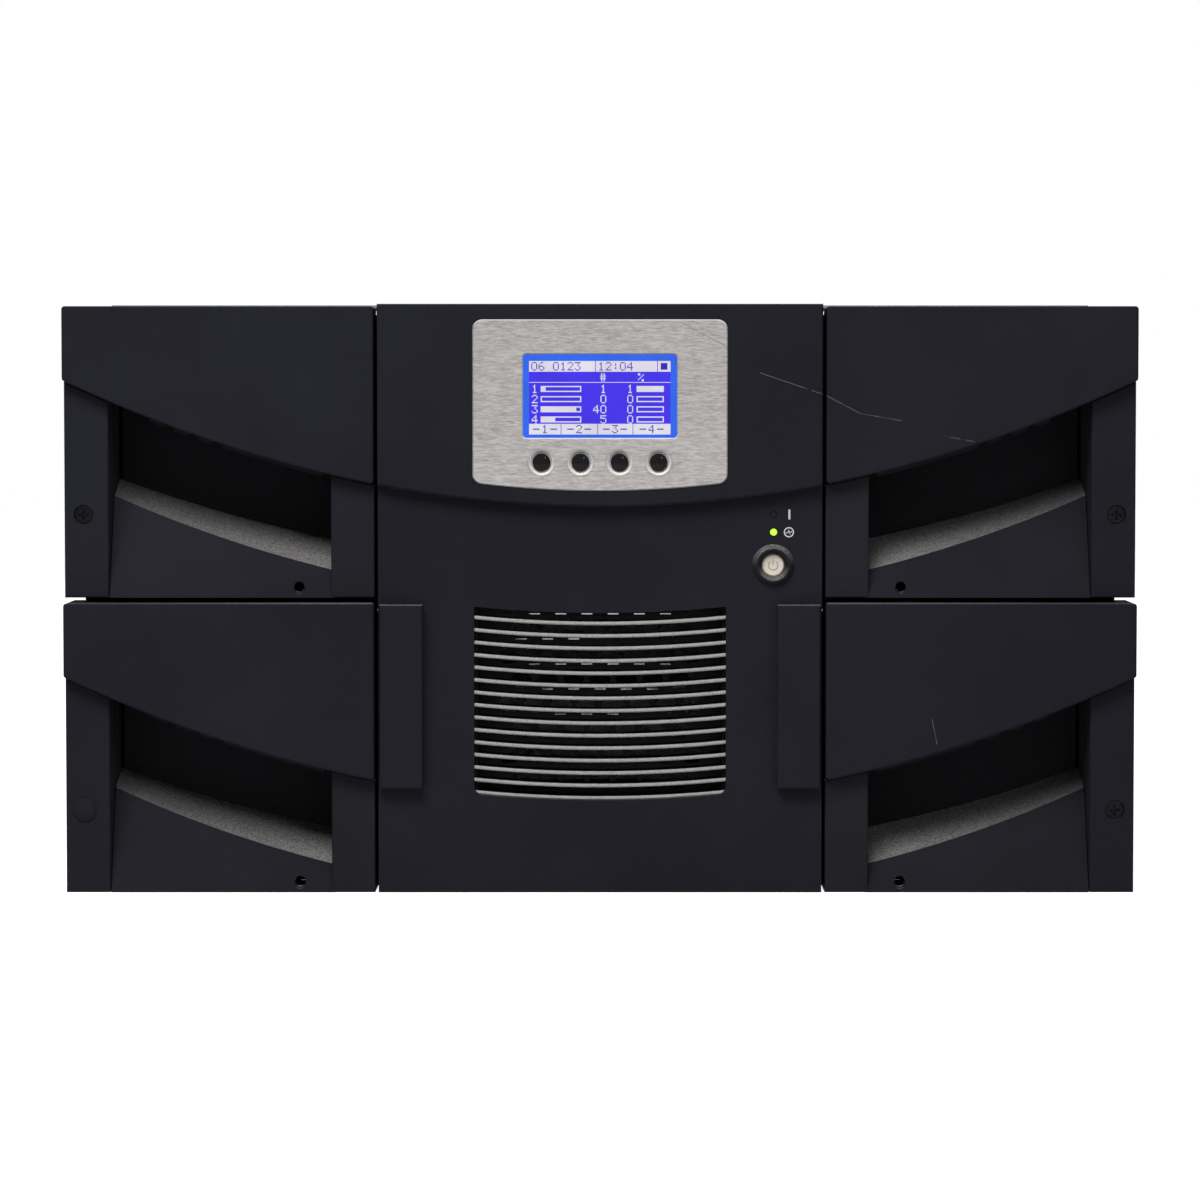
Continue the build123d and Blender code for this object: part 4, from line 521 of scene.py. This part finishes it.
def sheet_metal(name, dark, light, roughness=(0.3, 0.48), flake=160, black=(), bare=()):
    """Plated sheet with faint crystal patches and a rolled grain, black inside some boxes."""
    material, tree, shader = start_finish(name, metallic=1.0, specular=0.2)
    place = object_place(tree)
    crystal = add_node(tree, "TexVoronoi", {"Vector": place, "Scale": flake}).outputs["Color"]
    patch = add_node(tree, "SeparateColor", {0: crystal}).outputs[0]
    grain = noise(tree, object_place(tree, (900, 40, 900)), 1.0, detail=3.0)
    shade = math(tree, "ADD", math(tree, "MULTIPLY", patch, 0.45), math(tree, "MULTIPLY", grain, 0.55))
    plated = mix_colours(tree, spread(tree, shade, 0.2, 0.8), dark, light)
    rough = spread(tree, shade, 0.2, 0.8, *roughness)
    if black:
        covered = math(tree, "SUBTRACT", within(tree, place, black), within(tree, place, bare))
        plated = mix_colours(tree, covered, plated, INNER_BLACK)
        rough = mix_values(tree, covered, rough, 0.55)
        connect(tree, shader, Metallic=math(tree, "SUBTRACT", 1.0, covered))
    connect(tree, shader, Base_Color=plated, Roughness=rough, Normal=relief(tree, grain, 1e-5))
    return material


zinc = sheet_metal("zinc_sheet", *ZINC)
black_sheet = sheet_metal("black_sheet", (0.018, 0.018, 0.020), (0.03, 0.03, 0.032), (0.5, 0.65), 700)
black_screw = sheet_metal("black_screw", (0.007, 0.007, 0.008), (0.014, 0.014, 0.015), (0.4, 0.5), 900)
ground_steel = sheet_metal("ground_steel", (0.58, 0.58, 0.59), (0.74, 0.74, 0.75), (0.18, 0.3), 900)
lip_steel = sheet_metal("lip_steel", (0.70, 0.70, 0.71), (0.90, 0.90, 0.91), (0.10, 0.2), 900)
satin_alloy = sheet_metal("satin_alloy", (0.50, 0.51, 0.53), (0.62, 0.63, 0.65), (0.32, 0.45), 1200)
dress(zinc, "top_cover", "rear_bay_walls", "bay_shelf_left", "bay_shelf_right", "rear_panel")
dress(zinc, "drive_bay_blanks")
dress(black_sheet, "front_bulkhead", "lift_motor", "travel_motor")
dress(black_screw, "rack_screws")
dress(ground_steel, "cover_screws", "lift_guide_rods", "lift_screw")
dress(ground_steel, "belt_pulley_drive", "belt_pulley_idler")
for level in LEVELS:
    for side in SIDES:
        dress(ground_steel, f"latch_{level}_{side}")
dress(satin_alloy, "lift_frame", "picker_carriage", "tape_drive")
print("zinc between", *ZINC)

# %% [markdown]
# ## Painted and plastic stretches
# One solid can be metal and black plastic at once, such as a power supply with its handle and socket. It
# could be cut in two, but the solids stay whole, so its finish tells the two apart by boxes in the frame
# of the object: black inside the first kind, and bare metal again inside the second.

# %% Painted and plastic stretches
FAR = 1.0
MOUTH_DEPTH = 45 * MM
INNER_WALL = 221.6 * MM
FLANGE_PAINT = 1.6 * MM
module_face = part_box("drive_bay_blanks")[1].y
PROUD = ((-FAR, module_face + 0.1 * MM, -FAR), (FAR, FAR, FAR))
flange_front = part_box("chassis_tray")[0].y


def socket_box(x, z, width, height, depth):
    """The box of a socket that is let into the rear faces, in millimetres."""
    low = (x - width / 2) * MM, module_face - depth * MM, (z - height / 2) * MM
    high = (x + width / 2) * MM, module_face - 0.2 * MM, (z + height / 2) * MM
    return low, high


# Inside the mouth of the chassis the zinc is black: painted shade that keeps the seams and scoops dark. The
# rack flanges are painted black.
mouth_painted_shade = (-INNER_WALL, -FAR, -FAR), (INNER_WALL, flange_front + MOUTH_DEPTH, FAR)
flanges = (-FAR, -FAR, -FAR), (FAR, flange_front + FLANGE_PAINT, FAR)
dress(sheet_metal("chassis_zinc", *ZINC, black=[mouth_painted_shade, flanges]), "chassis_tray")

sas_boxes = [socket_box(side * 55, 36, 14.2, 6.2, 13.7) for side in SIDES.values()]
dress(sheet_metal("sled_zinc", *ZINC, black=[PROUD, *sas_boxes]), "drive_sled")
jack_boxes = [socket_box(164.45 + side * 11, 170, 12.0, 8.4, 14.2) for side in SIDES.values()]
dress(sheet_metal("controller_zinc", *ZINC, black=jack_boxes), "controller")

INLET_X = -134.45
INLET_Z = {"lower": 47.0, "upper": 151.0}
INLET_SIZE = (27.2, 20.2, 15.2)
PIN_SIZE = (2.2, 4.2, 14.8)
PIN_PLACES = [(-7, 0), (0, 4), (7, 0)]
for level, inlet_z in INLET_Z.items():
    inlet = socket_box(INLET_X, inlet_z, *INLET_SIZE)
    pins = [socket_box(INLET_X + across, inlet_z + up, *PIN_SIZE) for across, up in PIN_PLACES]
    supply = sheet_metal(f"supply_zinc_{level}", *ZINC, black=[PROUD, inlet], bare=pins)
    dress(supply, f"power_supply_{level}")
print("rear faces at", round(module_face, 4), "and flanges from", round(flange_front, 4))

# %% [markdown]
# ## Inner plastics and rubber
# The cells, runners, picker and fans are plainer mouldings that nobody sees in use, so they have a
# broader grain and no dust. The travel belt is matt rubber.

# %% Inner plastics
cell_black = grained_finish("cell_black", (0.0055, 0.0055, 0.0070), dust_and_highlight=0.0, grain=700, gloss=0.04)
inner_black = grained_finish("inner_black", (0.014, 0.014, 0.016), dust_and_highlight=0.0, grain=800, gloss=0.2)
belt_rubber = grained_finish(
    "belt_rubber", (0.012, 0.012, 0.012), dust_and_highlight=0.0, grain=600, roughness=(0.7, 0.85)
)
for level in LEVELS:
    dress(inner_black, f"supply_fan_{level}")
    for side in SIDES:
        dress(cell_black, f"cells_{level}_{side}")
dress(inner_black, "magazine_runners", "picker_housing", "gripper")
dress(belt_rubber, "travel_belt")
print("inner finishes:", cell_black.name, inner_black.name, belt_rubber.name)

# %% [markdown]
# ## Keys, button and lamps
# The soft keys are glossy black domes. The power button is a cream lens with light behind it, so its
# colour glows a little. One lamp is lit green and the one above it is off; both are one node, so the
# finish tells them apart by height.

# %% Keys and lamps
lamp_low, lamp_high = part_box("status_lamps")
lamp_split = (lamp_low.z + lamp_high.z) / 2
UNLIT = (0.006, 0.007, 0.006)


def lit_lens(name, colour, glow, node, unlit_above=None):
    """A cloudy lens with light behind it, paler below, which may stay dark above a height."""
    material, tree, shader = start_finish(name, roughness=0.35, specular=0.05)
    place = object_place(tree)
    height = add_node(tree, "SeparateXYZ", {0: place}).outputs["Z"]
    low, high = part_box(node)
    cloud = math(tree, "MULTIPLY", noise(tree, place, 700, detail=3.0), 0.3)
    pale = math(tree, "ADD", cloud, spread(tree, height, low.z, high.z, 0.85, 0))
    dim, bright = (tuple(share * part for part in colour) for share in (0.78, 1.2))
    shade = mix_colours(tree, pale, dim, bright)
    shader.inputs["Emission Strength"].default_value = glow
    if unlit_above:
        unlit = math(tree, "GREATER_THAN", height, unlit_above)
        shade = mix_colours(tree, unlit, shade, UNLIT)
    connect(tree, shader, Base_Color=shade, Emission_Color=shade)
    return material


key_gloss = grained_finish(
    "key_gloss", (0.004, 0.004, 0.0055), dust_and_highlight=0.0, grain=500, roughness=(0.06, 0.10), relief_depth=2e-6,
    gloss=0.1,
)
dress(key_gloss, *KEY_NODES)
dress(lit_lens("button_cream", (0.53, 0.48, 0.41), 0.10, "power_button"), "power_button")
dress(lit_lens("lamp_lens", (0.36, 0.80, 0.04), 0.9, "status_lamps", lamp_split), "status_lamps")
print(len(KEY_NODES), "keys, and a lamp that is lit below", round(lamp_split, 4))

# %% [markdown]
# ## Display
# The display is a blue backlit panel under a thin pane. Its picture is built from flat strips inside
# the pane, in layers: a bright surround, a violet field, white bars and dots, and dark dots on the
# bars. A picture in a texture would be quicker, but strips stay sharp at any size.

# %% Display materials and strips
window_low, window_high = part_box("lcd_window")
window_middle = (window_low + window_high) / 2
LAYER = 0.06 * MM


def glow(name, colour, strength=1.0):
    """A lit surface of one colour, a little uneven as a backlight is."""
    material, tree, shader = start_finish(name, roughness=0.6, specular=0.0)
    shader.inputs["Base Color"].default_value = (0, 0, 0, 1)
    cloud = spread(tree, noise(tree, object_place(tree), 60, detail=2.0), 0.3, 0.7)
    shade = mix_colours(tree, cloud, tuple(0.85 * part for part in colour), colour)
    connect(tree, shader, Emission_Color=shade)
    shader.inputs["Emission Strength"].default_value = strength
    return material


def slab(builder, x0, x1, y0, y1, z0, z1):
    """A block between two corners."""
    size = Matrix.Diagonal((x1 - x0, y1 - y0, z1 - z0, 1))
    place = Matrix.Translation(((x0 + x1) / 2, (y0 + y1) / 2, (z0 + z1) / 2))
    bmesh.ops.create_cube(builder, size=1.0, matrix=place @ size)


def make_piece(builder, name, material, body):
    """Turns a bmesh into a piece that rides on a body."""
    bmesh.ops.recalc_face_normals(builder, faces=builder.faces)
    mesh = bpy.data.meshes.new(name)
    builder.to_mesh(mesh)
    builder.free()
    mesh.materials.append(material)
    piece = bpy.data.objects.new(name, mesh)
    bpy.context.scene.collection.objects.link(piece)
    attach(piece, body)
    print(name, "has", len(mesh.polygons), "faces")


def lcd_strip(builder, layer, x0, x1, z0, z1):
    """A flat strip of the picture, in millimetres from the display's middle."""
    back = window_high.y - layer * LAYER
    centre = window_middle
    slab(
        builder, centre.x + x0 * MM, centre.x + x1 * MM, back - LAYER, back,
        centre.z + z0 * MM, centre.z + z1 * MM,
    )


window_glass, window_tree, window_shader = start_finish("window_glass")
window_shader.inputs["Transmission Weight"].default_value = 1.0
window_shader.inputs["IOR"].default_value = 1.3
smear = noise(window_tree, object_place(window_tree), 90, detail=3.0)
connect(window_tree, window_shader, Roughness=spread(window_tree, smear, 0.35, 0.75, 0.01, 0.06))
dress(window_glass, "lcd_window")
LCD_BLUE = (0.028, 0.150, 1.0)
LCD_VIOLET = (0.060, 0.032, 0.97)
LCD_WHITE = (0.88, 0.85, 0.97)
dress(glow("lcd_surround", LCD_BLUE), "lcd_module")
print("display", [round(v, 4) for v in window_high - window_low])

# %% [markdown]
# ## Dot figures
# Such a panel draws its figures with dots, five across and seven down, so each figure here is seven lines,
# and the bits of a number say which of the five dots of a line are on. A level meter is a frame of single
# dots with a filled part.

# %% Display figures
DOT = 0.54
DOT_FILL = 0.92
FIGURES = {
    "0": (14, 17, 17, 17, 17, 17, 14), "1": (4, 12, 4, 4, 4, 4, 14), "2": (14, 17, 1, 2, 4, 8, 31),
    "3": (31, 2, 4, 2, 1, 17, 14), "4": (2, 6, 10, 18, 31, 2, 2), "5": (31, 16, 30, 1, 1, 17, 14),
    "6": (6, 8, 16, 30, 17, 17, 14), "#": (10, 10, 31, 10, 31, 10, 10), ":": (0, 4, 4, 0, 4, 4, 0),
    "%": (24, 25, 2, 4, 8, 19, 3), " ": (),
}


def lcd_figures(builder, layer, text, left, middle_z):
    """Figures made of dots; each number in FIGURES holds the five dots of one line."""
    top = middle_z + 3.5 * DOT
    for place, sign in enumerate(text):
        for line, dots in enumerate(FIGURES[sign]):
            for column in range(5):
                if dots >> (4 - column) & 1:
                    x = left + (place * 6 + column) * DOT
                    z = top - line * DOT
                    lcd_strip(builder, layer, x, x + DOT_FILL * DOT, z - DOT_FILL * DOT, z)


def lcd_meter(builder, layer, left, right, middle_z, share):
    """A level meter: a frame of one dot, filled up to a share of its length."""
    low, high = middle_z - 2.5 * DOT, middle_z + 2.5 * DOT
    lcd_strip(builder, layer, left, right, high - DOT, high)
    lcd_strip(builder, layer, left, right, low, low + DOT)
    lcd_strip(builder, layer, right - DOT, right, low + DOT, high - DOT)
    lcd_strip(builder, layer, left, left + DOT + share * (right - left - 2 * DOT), low + DOT, high - DOT)


print(len(FIGURES), "figures")

# %% [markdown]
# ## The picture
# The rows hold plain numbers and level meters, between a bar above and a bar for the four keys below. All
# strips of one colour go into one mesh, which keeps the number of pieces small.

# %% Display picture
FIELD_LEFT, FIELD_RIGHT = -31.8, 31.6
FIELD_TOP, FIELD_BOTTOM = 15.7, -17.2
BAR = 4.8
RULE_Z = 6.0
ROW_TOP, ROW_PITCH = 3.2, 4.55
ROWS = [(0.1, "1", "1", 1.0), (0.0, "0", "0", 0.0), (0.9, "40", "0", 0.0), (0.35, "5", "0", 0.0)]
NUMBER_LEFT, COUNT_RIGHT, STATE_LEFT = -30.6, 3.4, 12.2
LEVEL_METER, STATE_METER = (-26.6, -8.4), (16.4, 28.6)
SIGNS = {"#": 0.0, "%": 17.0}
SIGN_Z = 8.4
HEAD_FIGURES = {"06 0123": -30.8, "12:04": -0.8}
HEAD_DIVIDERS = (-2.2, 25.6)
HEAD_SQUARE = (27.2, 30.2)
SOFT_KEYS = [FIELD_LEFT, -17.6, -1.2, 14.6, FIELD_RIGHT]
KEY_DASH = (2.4, 5.4)

builder = bmesh.new()
lcd_strip(builder, 1, FIELD_LEFT, FIELD_RIGHT, FIELD_BOTTOM, FIELD_TOP)
make_piece(builder, "lcd_field", glow("lcd_violet", LCD_VIOLET), "chassis")

builder = bmesh.new()
lcd_strip(builder, 2, FIELD_LEFT, FIELD_RIGHT, FIELD_TOP - BAR, FIELD_TOP)
lcd_strip(builder, 2, FIELD_LEFT, FIELD_RIGHT, FIELD_BOTTOM, FIELD_BOTTOM + BAR)
lcd_strip(builder, 2, FIELD_LEFT, FIELD_RIGHT, RULE_Z, RULE_Z + DOT / 2)
for sign, left in SIGNS.items():
    lcd_figures(builder, 2, sign, left, SIGN_Z)
for row, (level_share, count, state, state_share) in enumerate(ROWS):
    row_z = ROW_TOP - row * ROW_PITCH
    lcd_figures(builder, 2, str(row + 1), NUMBER_LEFT, row_z)
    lcd_meter(builder, 2, *LEVEL_METER, row_z, level_share)
    lcd_figures(builder, 2, count, COUNT_RIGHT - 6 * DOT * len(count), row_z)
    lcd_figures(builder, 2, state, STATE_LEFT, row_z)
    lcd_meter(builder, 2, *STATE_METER, row_z, state_share)
make_piece(builder, "lcd_marks", glow("lcd_white", LCD_WHITE), "chassis")

builder = bmesh.new()
head_z = FIELD_TOP - BAR / 2
for figures, left in HEAD_FIGURES.items():
    lcd_figures(builder, 3, figures, left, head_z)
for divider in HEAD_DIVIDERS:
    lcd_strip(builder, 3, divider, divider + DOT / 2, FIELD_TOP - BAR, FIELD_TOP)
lcd_strip(builder, 3, *HEAD_SQUARE, head_z - 1.5, head_z + 1.5)
for index, (left, right) in enumerate(zip(SOFT_KEYS, SOFT_KEYS[1:]), start=1):
    key_middle = (left + right) / 2
    bar_z = FIELD_BOTTOM + BAR / 2
    lcd_figures(builder, 3, str(index), key_middle - 2.5 * DOT, bar_z)
    for side in SIDES.values():
        near, far = sorted(key_middle + side * end for end in KEY_DASH)
        lcd_strip(builder, 3, near, far, bar_z - DOT / 2, bar_z + DOT / 2)
    if index > 1:
        lcd_strip(builder, 3, left, left + DOT / 2, FIELD_BOTTOM, FIELD_BOTTOM + BAR)
make_piece(builder, "lcd_ink", glow("lcd_ink", LCD_VIOLET, 0.55), "chassis")

# %% [markdown]
# ## Printed marks
# The button carries the usual open circle with a stroke, and the lamps have small marks beside them:
# a stroke, and a ring with a zigzag. They are pad prints, so each is a film a few hundredths of a
# millimetre thick that sits on the face below it. A ring is a small rectangle spun about its middle.

# %% Printed marks
FILM = 0.04 * MM
FIELD_SET = 6.5 * MM
POWER_RADIUS, POWER_LINE = 2.1 * MM, 0.6 * MM
POWER_STROKE = (0.7 * MM, 2.4 * MM)
POWER_GAP = radians(70)
MARK_SET, BAR_SET = 5.3 * MM, 0.2 * MM
BAR_HALF, BAR_WIDTH = 1.75 * MM, 0.9 * MM
LAMP_RADIUS, LAMP_LINE = 2.05 * MM, 0.5 * MM
ZIGZAG = [(-1.3, -0.3), (-0.5, -0.3), (-0.1, 1.0), (0.3, -1.0), (0.6, 0.2), (1.3, 0.2)]
ZIGZAG_LINE = 0.45 * MM
print_finish = grained_finish("pad_print", (0.42, 0.42, 0.42), dust_and_highlight=0.0, grain=2500, gloss=0.2)
grey_print = grained_finish("grey_print", (0.27, 0.245, 0.205), dust_and_highlight=0.0, grain=2500, gloss=0.2)


def ring_film(builder, x, z, face_y, radius, width, gap=0.0):
    """A printed ring on a front face, open by an angle at the top."""
    inner, outer = radius - width / 2, radius + width / 2
    begin = Matrix.Rotation(gap / 2, 3, "Y")
    corners = []
    for reach, depth in ((inner, 0), (outer, 0), (outer, -FILM), (inner, -FILM)):
        spot = begin @ Vector((0, 0, reach))
        corners.append(builder.verts.new((x + spot.x, face_y + depth, z + spot.z)))
    section = builder.faces.new(corners)
    turn = 2 * pi - gap
    bmesh.ops.spin(
        builder, geom=[section, *section.edges, *section.verts], cent=(x, face_y, z), axis=(0, 1, 0),
        angle=turn, steps=36, use_merge=gap == 0,
    )
    if gap == 0:
        bmesh.ops.delete(builder, geom=[section], context="FACES_ONLY")


def line_film(builder, start, end, face_y, width):
    """A printed stroke on a front face, between two points given as X and Z."""
    first, last = Vector((start[0], 0, start[1])), Vector((end[0], 0, end[1]))
    along = last - first
    turn = Matrix.Rotation(-atan2(along.z, along.x), 4, "Y")
    size = Matrix.Diagonal((along.length + width, FILM, width, 1))
    place = Matrix.Translation((first + last) / 2 + Vector((0, face_y - FILM / 2, 0)))
    bmesh.ops.create_cube(builder, size=1.0, matrix=place @ turn @ size)


button_low, button_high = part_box("power_button")
button = (button_low + button_high) / 2
builder = bmesh.new()
ring_film(builder, button.x, button.z, button_low.y, POWER_RADIUS, POWER_LINE, gap=POWER_GAP)
stroke_ends = [(button.x, button.z + rise) for rise in POWER_STROKE]
line_film(builder, *stroke_ends, button_low.y, POWER_LINE)
make_piece(builder, "power_mark", grey_print, "power_key")

field_face = hood_front + FIELD_SET
mark_x = lamp_high.x + MARK_SET
green_z = lamp_low.z + (lamp_high.x - lamp_low.x) / 2
dark_z = lamp_high.z - (lamp_high.x - lamp_low.x) / 2
builder = bmesh.new()
bar_x = mark_x + BAR_SET
line_film(builder, (bar_x, dark_z - BAR_HALF), (bar_x, dark_z + BAR_HALF), field_face, BAR_WIDTH)
ring_film(builder, mark_x, green_z, field_face, LAMP_RADIUS, LAMP_LINE)
bends = [(mark_x + x * MM, green_z + z * MM) for x, z in ZIGZAG]
for start, end in zip(bends, bends[1:]):
    line_film(builder, start, end, field_face, ZIGZAG_LINE)
make_piece(builder, "lamp_marks", print_finish, "chassis")

# %% [markdown]
# ## Rivets in the seams
# Rivets in the side walls of the centre panel peek out of the seams beside it. A rivet head could be a
# spun arc, but at this size a flattened sphere, half of it inside the wall, does as well.

# %% Seam rivets
RIVET_RADIUS = 1.1 * MM
RIVET_RISE = 0.9 * MM
RIVET_HEIGHTS = (0.2612, 0.1274)
RIVET_SETS = (3.0 * MM, 9.0 * MM)
panel_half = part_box("front_panel")[1].x

builder = bmesh.new()
for side in SIDES.values():
    for height, set_back in zip(RIVET_HEIGHTS, RIVET_SETS):
        place = Matrix.Translation((side * panel_half, hood_front + set_back, height))
        squash = Matrix.Diagonal((RIVET_RISE / RIVET_RADIUS, 1, 1, 1))
        bmesh.ops.create_uvsphere(
            builder, u_segments=16, v_segments=8, radius=RIVET_RADIUS, matrix=place @ squash
        )
make_piece(builder, "seam_rivets", ground_steel, "chassis")

# %% [markdown]
# ## Lips of the punched holes
# The punch has left bare lips on the front of the perforated sheet behind the grille, below some holes of
# its upper rows. They are thin blocks with eased edges, as smooth as a mirror, so that they catch the light
# that comes in between the louvres.

# %% Hole lips
HEX_TOP = 129.4 * MM
HEX_ROW = 11.5 * MM
HEX_PITCH = 12.0 * MM
HEX_SIDE = 5.0 * MM
HEX_COLUMNS = 8
LIP_COLUMNS = [range(1, 7), range(0, 3), range(1, 7), range(1, 6), range(2, 5)]
LIP_HEIGHT = 0.65 * MM
LIP_PROUD = 0.3 * MM
LIP_EASE = 0.12 * MM
sheet_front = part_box("front_bulkhead")[0].y

builder = bmesh.new()
for row, lipped in enumerate(LIP_COLUMNS):
    columns = HEX_COLUMNS - row % 2
    flat = HEX_TOP - row * HEX_ROW - HEX_SIDE * sqrt(3) / 2
    for column in lipped:
        x = (column - (columns - 1) / 2) * HEX_PITCH
        slab(
            builder, x - HEX_SIDE / 2, x + HEX_SIDE / 2, sheet_front - LIP_PROUD, sheet_front,
            flat - LIP_HEIGHT, flat,
        )
bmesh.ops.bevel(
    builder, geom=builder.edges, offset=LIP_EASE, affect="EDGES", segments=2, profile=0.5, material=-1
)
make_piece(builder, "hole_lips", lip_steel, "chassis")

# %% [markdown]
# ## Bushes of the keys
# A bush lines the hole of each soft key, and carries on the slope of the dish around it. It is one profile
# of four corners, spun once around the axis of the key.

# %% Key bushes
BUSH_INNER, BUSH_OUTER = 4.05 * MM, 4.4 * MM
SINK_DEPTH = 0.7 * MM
BUSH_SLOPE = 0.18 * MM
plate_front, plate_back = (corner.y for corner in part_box("display_plate"))


def turned_ring(builder, x, z, profile):
    """A ring about an axis along Y. Its profile is a list of a radius and a Y for each corner."""
    section = builder.faces.new([builder.verts.new((x + radius, y, z)) for radius, y in profile])
    bmesh.ops.spin(
        builder, geom=[section, *section.edges, *section.verts], cent=(x, 0, z), axis=(0, 1, 0),
        angle=2 * pi, steps=32, use_merge=True,
    )
    bmesh.ops.delete(builder, geom=[section], context="FACES_ONLY")


bush_profile = [
    (BUSH_OUTER, plate_front + SINK_DEPTH), (BUSH_INNER, plate_front + SINK_DEPTH + BUSH_SLOPE),
    (BUSH_INNER, plate_back), (BUSH_OUTER, plate_back),
]
bush_satin = grained_finish("bush_satin", (0.42, 0.41, 0.39), dust_and_highlight=0.0, grain=2500, gloss=0.3)
builder = bmesh.new()
for key in key_middles:
    turned_ring(builder, key.x, key.z, bush_profile)
make_piece(builder, "key_bushes", bush_satin, "chassis")

# %% [markdown]
# ## Small things at the rear
# Each plate at the rear is held by screws, and each inlet has a plastic frame. A screw head is a short
# cylinder with its outer rim rounded, and a frame is four flat bars around the socket.

# %% Rear screws and inlet frames
SCREW_HEAD_RADIUS = 2.6 * MM
SCREW_HEAD_HEIGHT = 1.3 * MM
SCREW_HEAD_ROUND = 0.5 * MM
PLATE_X = 83.2
PLATE_Z = [36 + 48 * bay for bay in range(5)]
SUPPLY_CORNERS = [(x, z) for x in (-213.5, -115.5) for z in (29.0, 109.0, 133.0, 213.0)]


def plate_screw(builder, x, z):
    """A pan-head screw on the rear plates, in millimetres."""
    turn = Matrix.Rotation(pi / 2, 4, "X")
    place = Matrix.Translation((x * MM, module_face + SCREW_HEAD_HEIGHT / 2, z * MM))
    made = bmesh.ops.create_cone(
        builder, cap_ends=True, segments=24, radius1=SCREW_HEAD_RADIUS, radius2=SCREW_HEAD_RADIUS,
        depth=SCREW_HEAD_HEIGHT, matrix=place @ turn,
    )
    rim = [
        edge for vertex in made["verts"] for edge in vertex.link_edges
        if all(end.co.y > module_face + SCREW_HEAD_HEIGHT / 2 for end in edge.verts)
    ]
    bmesh.ops.bevel(
        builder, geom=list(dict.fromkeys(rim)), offset=SCREW_HEAD_ROUND, affect="EDGES", segments=3,
        profile=0.5, material=-1,
    )


builder = bmesh.new()
for x, z in [(side * PLATE_X, z) for side in SIDES.values() for z in PLATE_Z] + SUPPLY_CORNERS:
    plate_screw(builder, x, z)
make_piece(builder, "plate_screws", ground_steel, "chassis")

builder = bmesh.new()
FRAME_RIM = 2.0 * MM
FRAME_HEIGHT = 1.2 * MM
for inlet_z in INLET_Z.values():
    low, high = socket_box(INLET_X, inlet_z, *INLET_SIZE)
    depth = module_face, module_face + FRAME_HEIGHT
    bottom, top = low[2] - FRAME_RIM, high[2] + FRAME_RIM
    slab(builder, low[0] - FRAME_RIM, low[0], *depth, bottom, top)
    slab(builder, high[0], high[0] + FRAME_RIM, *depth, bottom, top)
    slab(builder, low[0], high[0], *depth, high[2], top)
    slab(builder, low[0], high[0], *depth, bottom, low[2])
make_piece(builder, "inlet_frames", inner_black, "chassis")

# %% [markdown]
# ## Tape and tubes in the gaps
# A black tape, a dark sheet put there for shade, closes the slot between the two rack flanges, so no
# light comes through the gap between the fronts. A tube behind each release hole leads a pin to the latch,
# and slides out with its magazine. It is spun like the bushes, from a longer profile.

# %% Flange tape and release tubes
TAPE_REACH = 235.4 * MM
TAPE_LOW, TAPE_HIGH = 128.5 * MM, 136.5 * MM
TAPE_SHEET = 0.6 * MM
FLANGE_SHEET = 1.2 * MM
flange_back = flange_front + FLANGE_SHEET
chassis_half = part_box("top_cover")[1].x

# A dark sheet in the slot between the flanges, put there for shade.
builder = bmesh.new()
for side in SIDES.values():
    slab(
        builder, *sorted((side * chassis_half, side * TAPE_REACH)), flange_back, flange_back + TAPE_SHEET,
        TAPE_LOW, TAPE_HIGH,
    )
make_piece(builder, "flange_shade_tape", belt_rubber, "chassis")

TUBE_X = 135.6 * MM
TUBE_RISE = 4.9 * MM
TUBE_INNER, TUBE_OUTER = 2.6 * MM, 3.3 * MM
TUBE_START, TUBE_END = hood_front + 15 * MM, hood_front + 34 * MM
LEVEL_RISE = {"lower": 0.0, "upper": 133.35 * MM}
tube_profile = [
    (TUBE_INNER, TUBE_START), (TUBE_OUTER, TUBE_START), (TUBE_OUTER, TUBE_END), (TUBE_INNER, TUBE_END),
]
for level, rise in LEVEL_RISE.items():
    for word, side in SIDES.items():
        builder = bmesh.new()
        turned_ring(builder, side * TUBE_X, rise + TUBE_RISE, tube_profile)
        magazine = f"magazine_{level}_{word}"
        make_piece(builder, f"release_tube_{level}_{word}", cell_black, magazine)
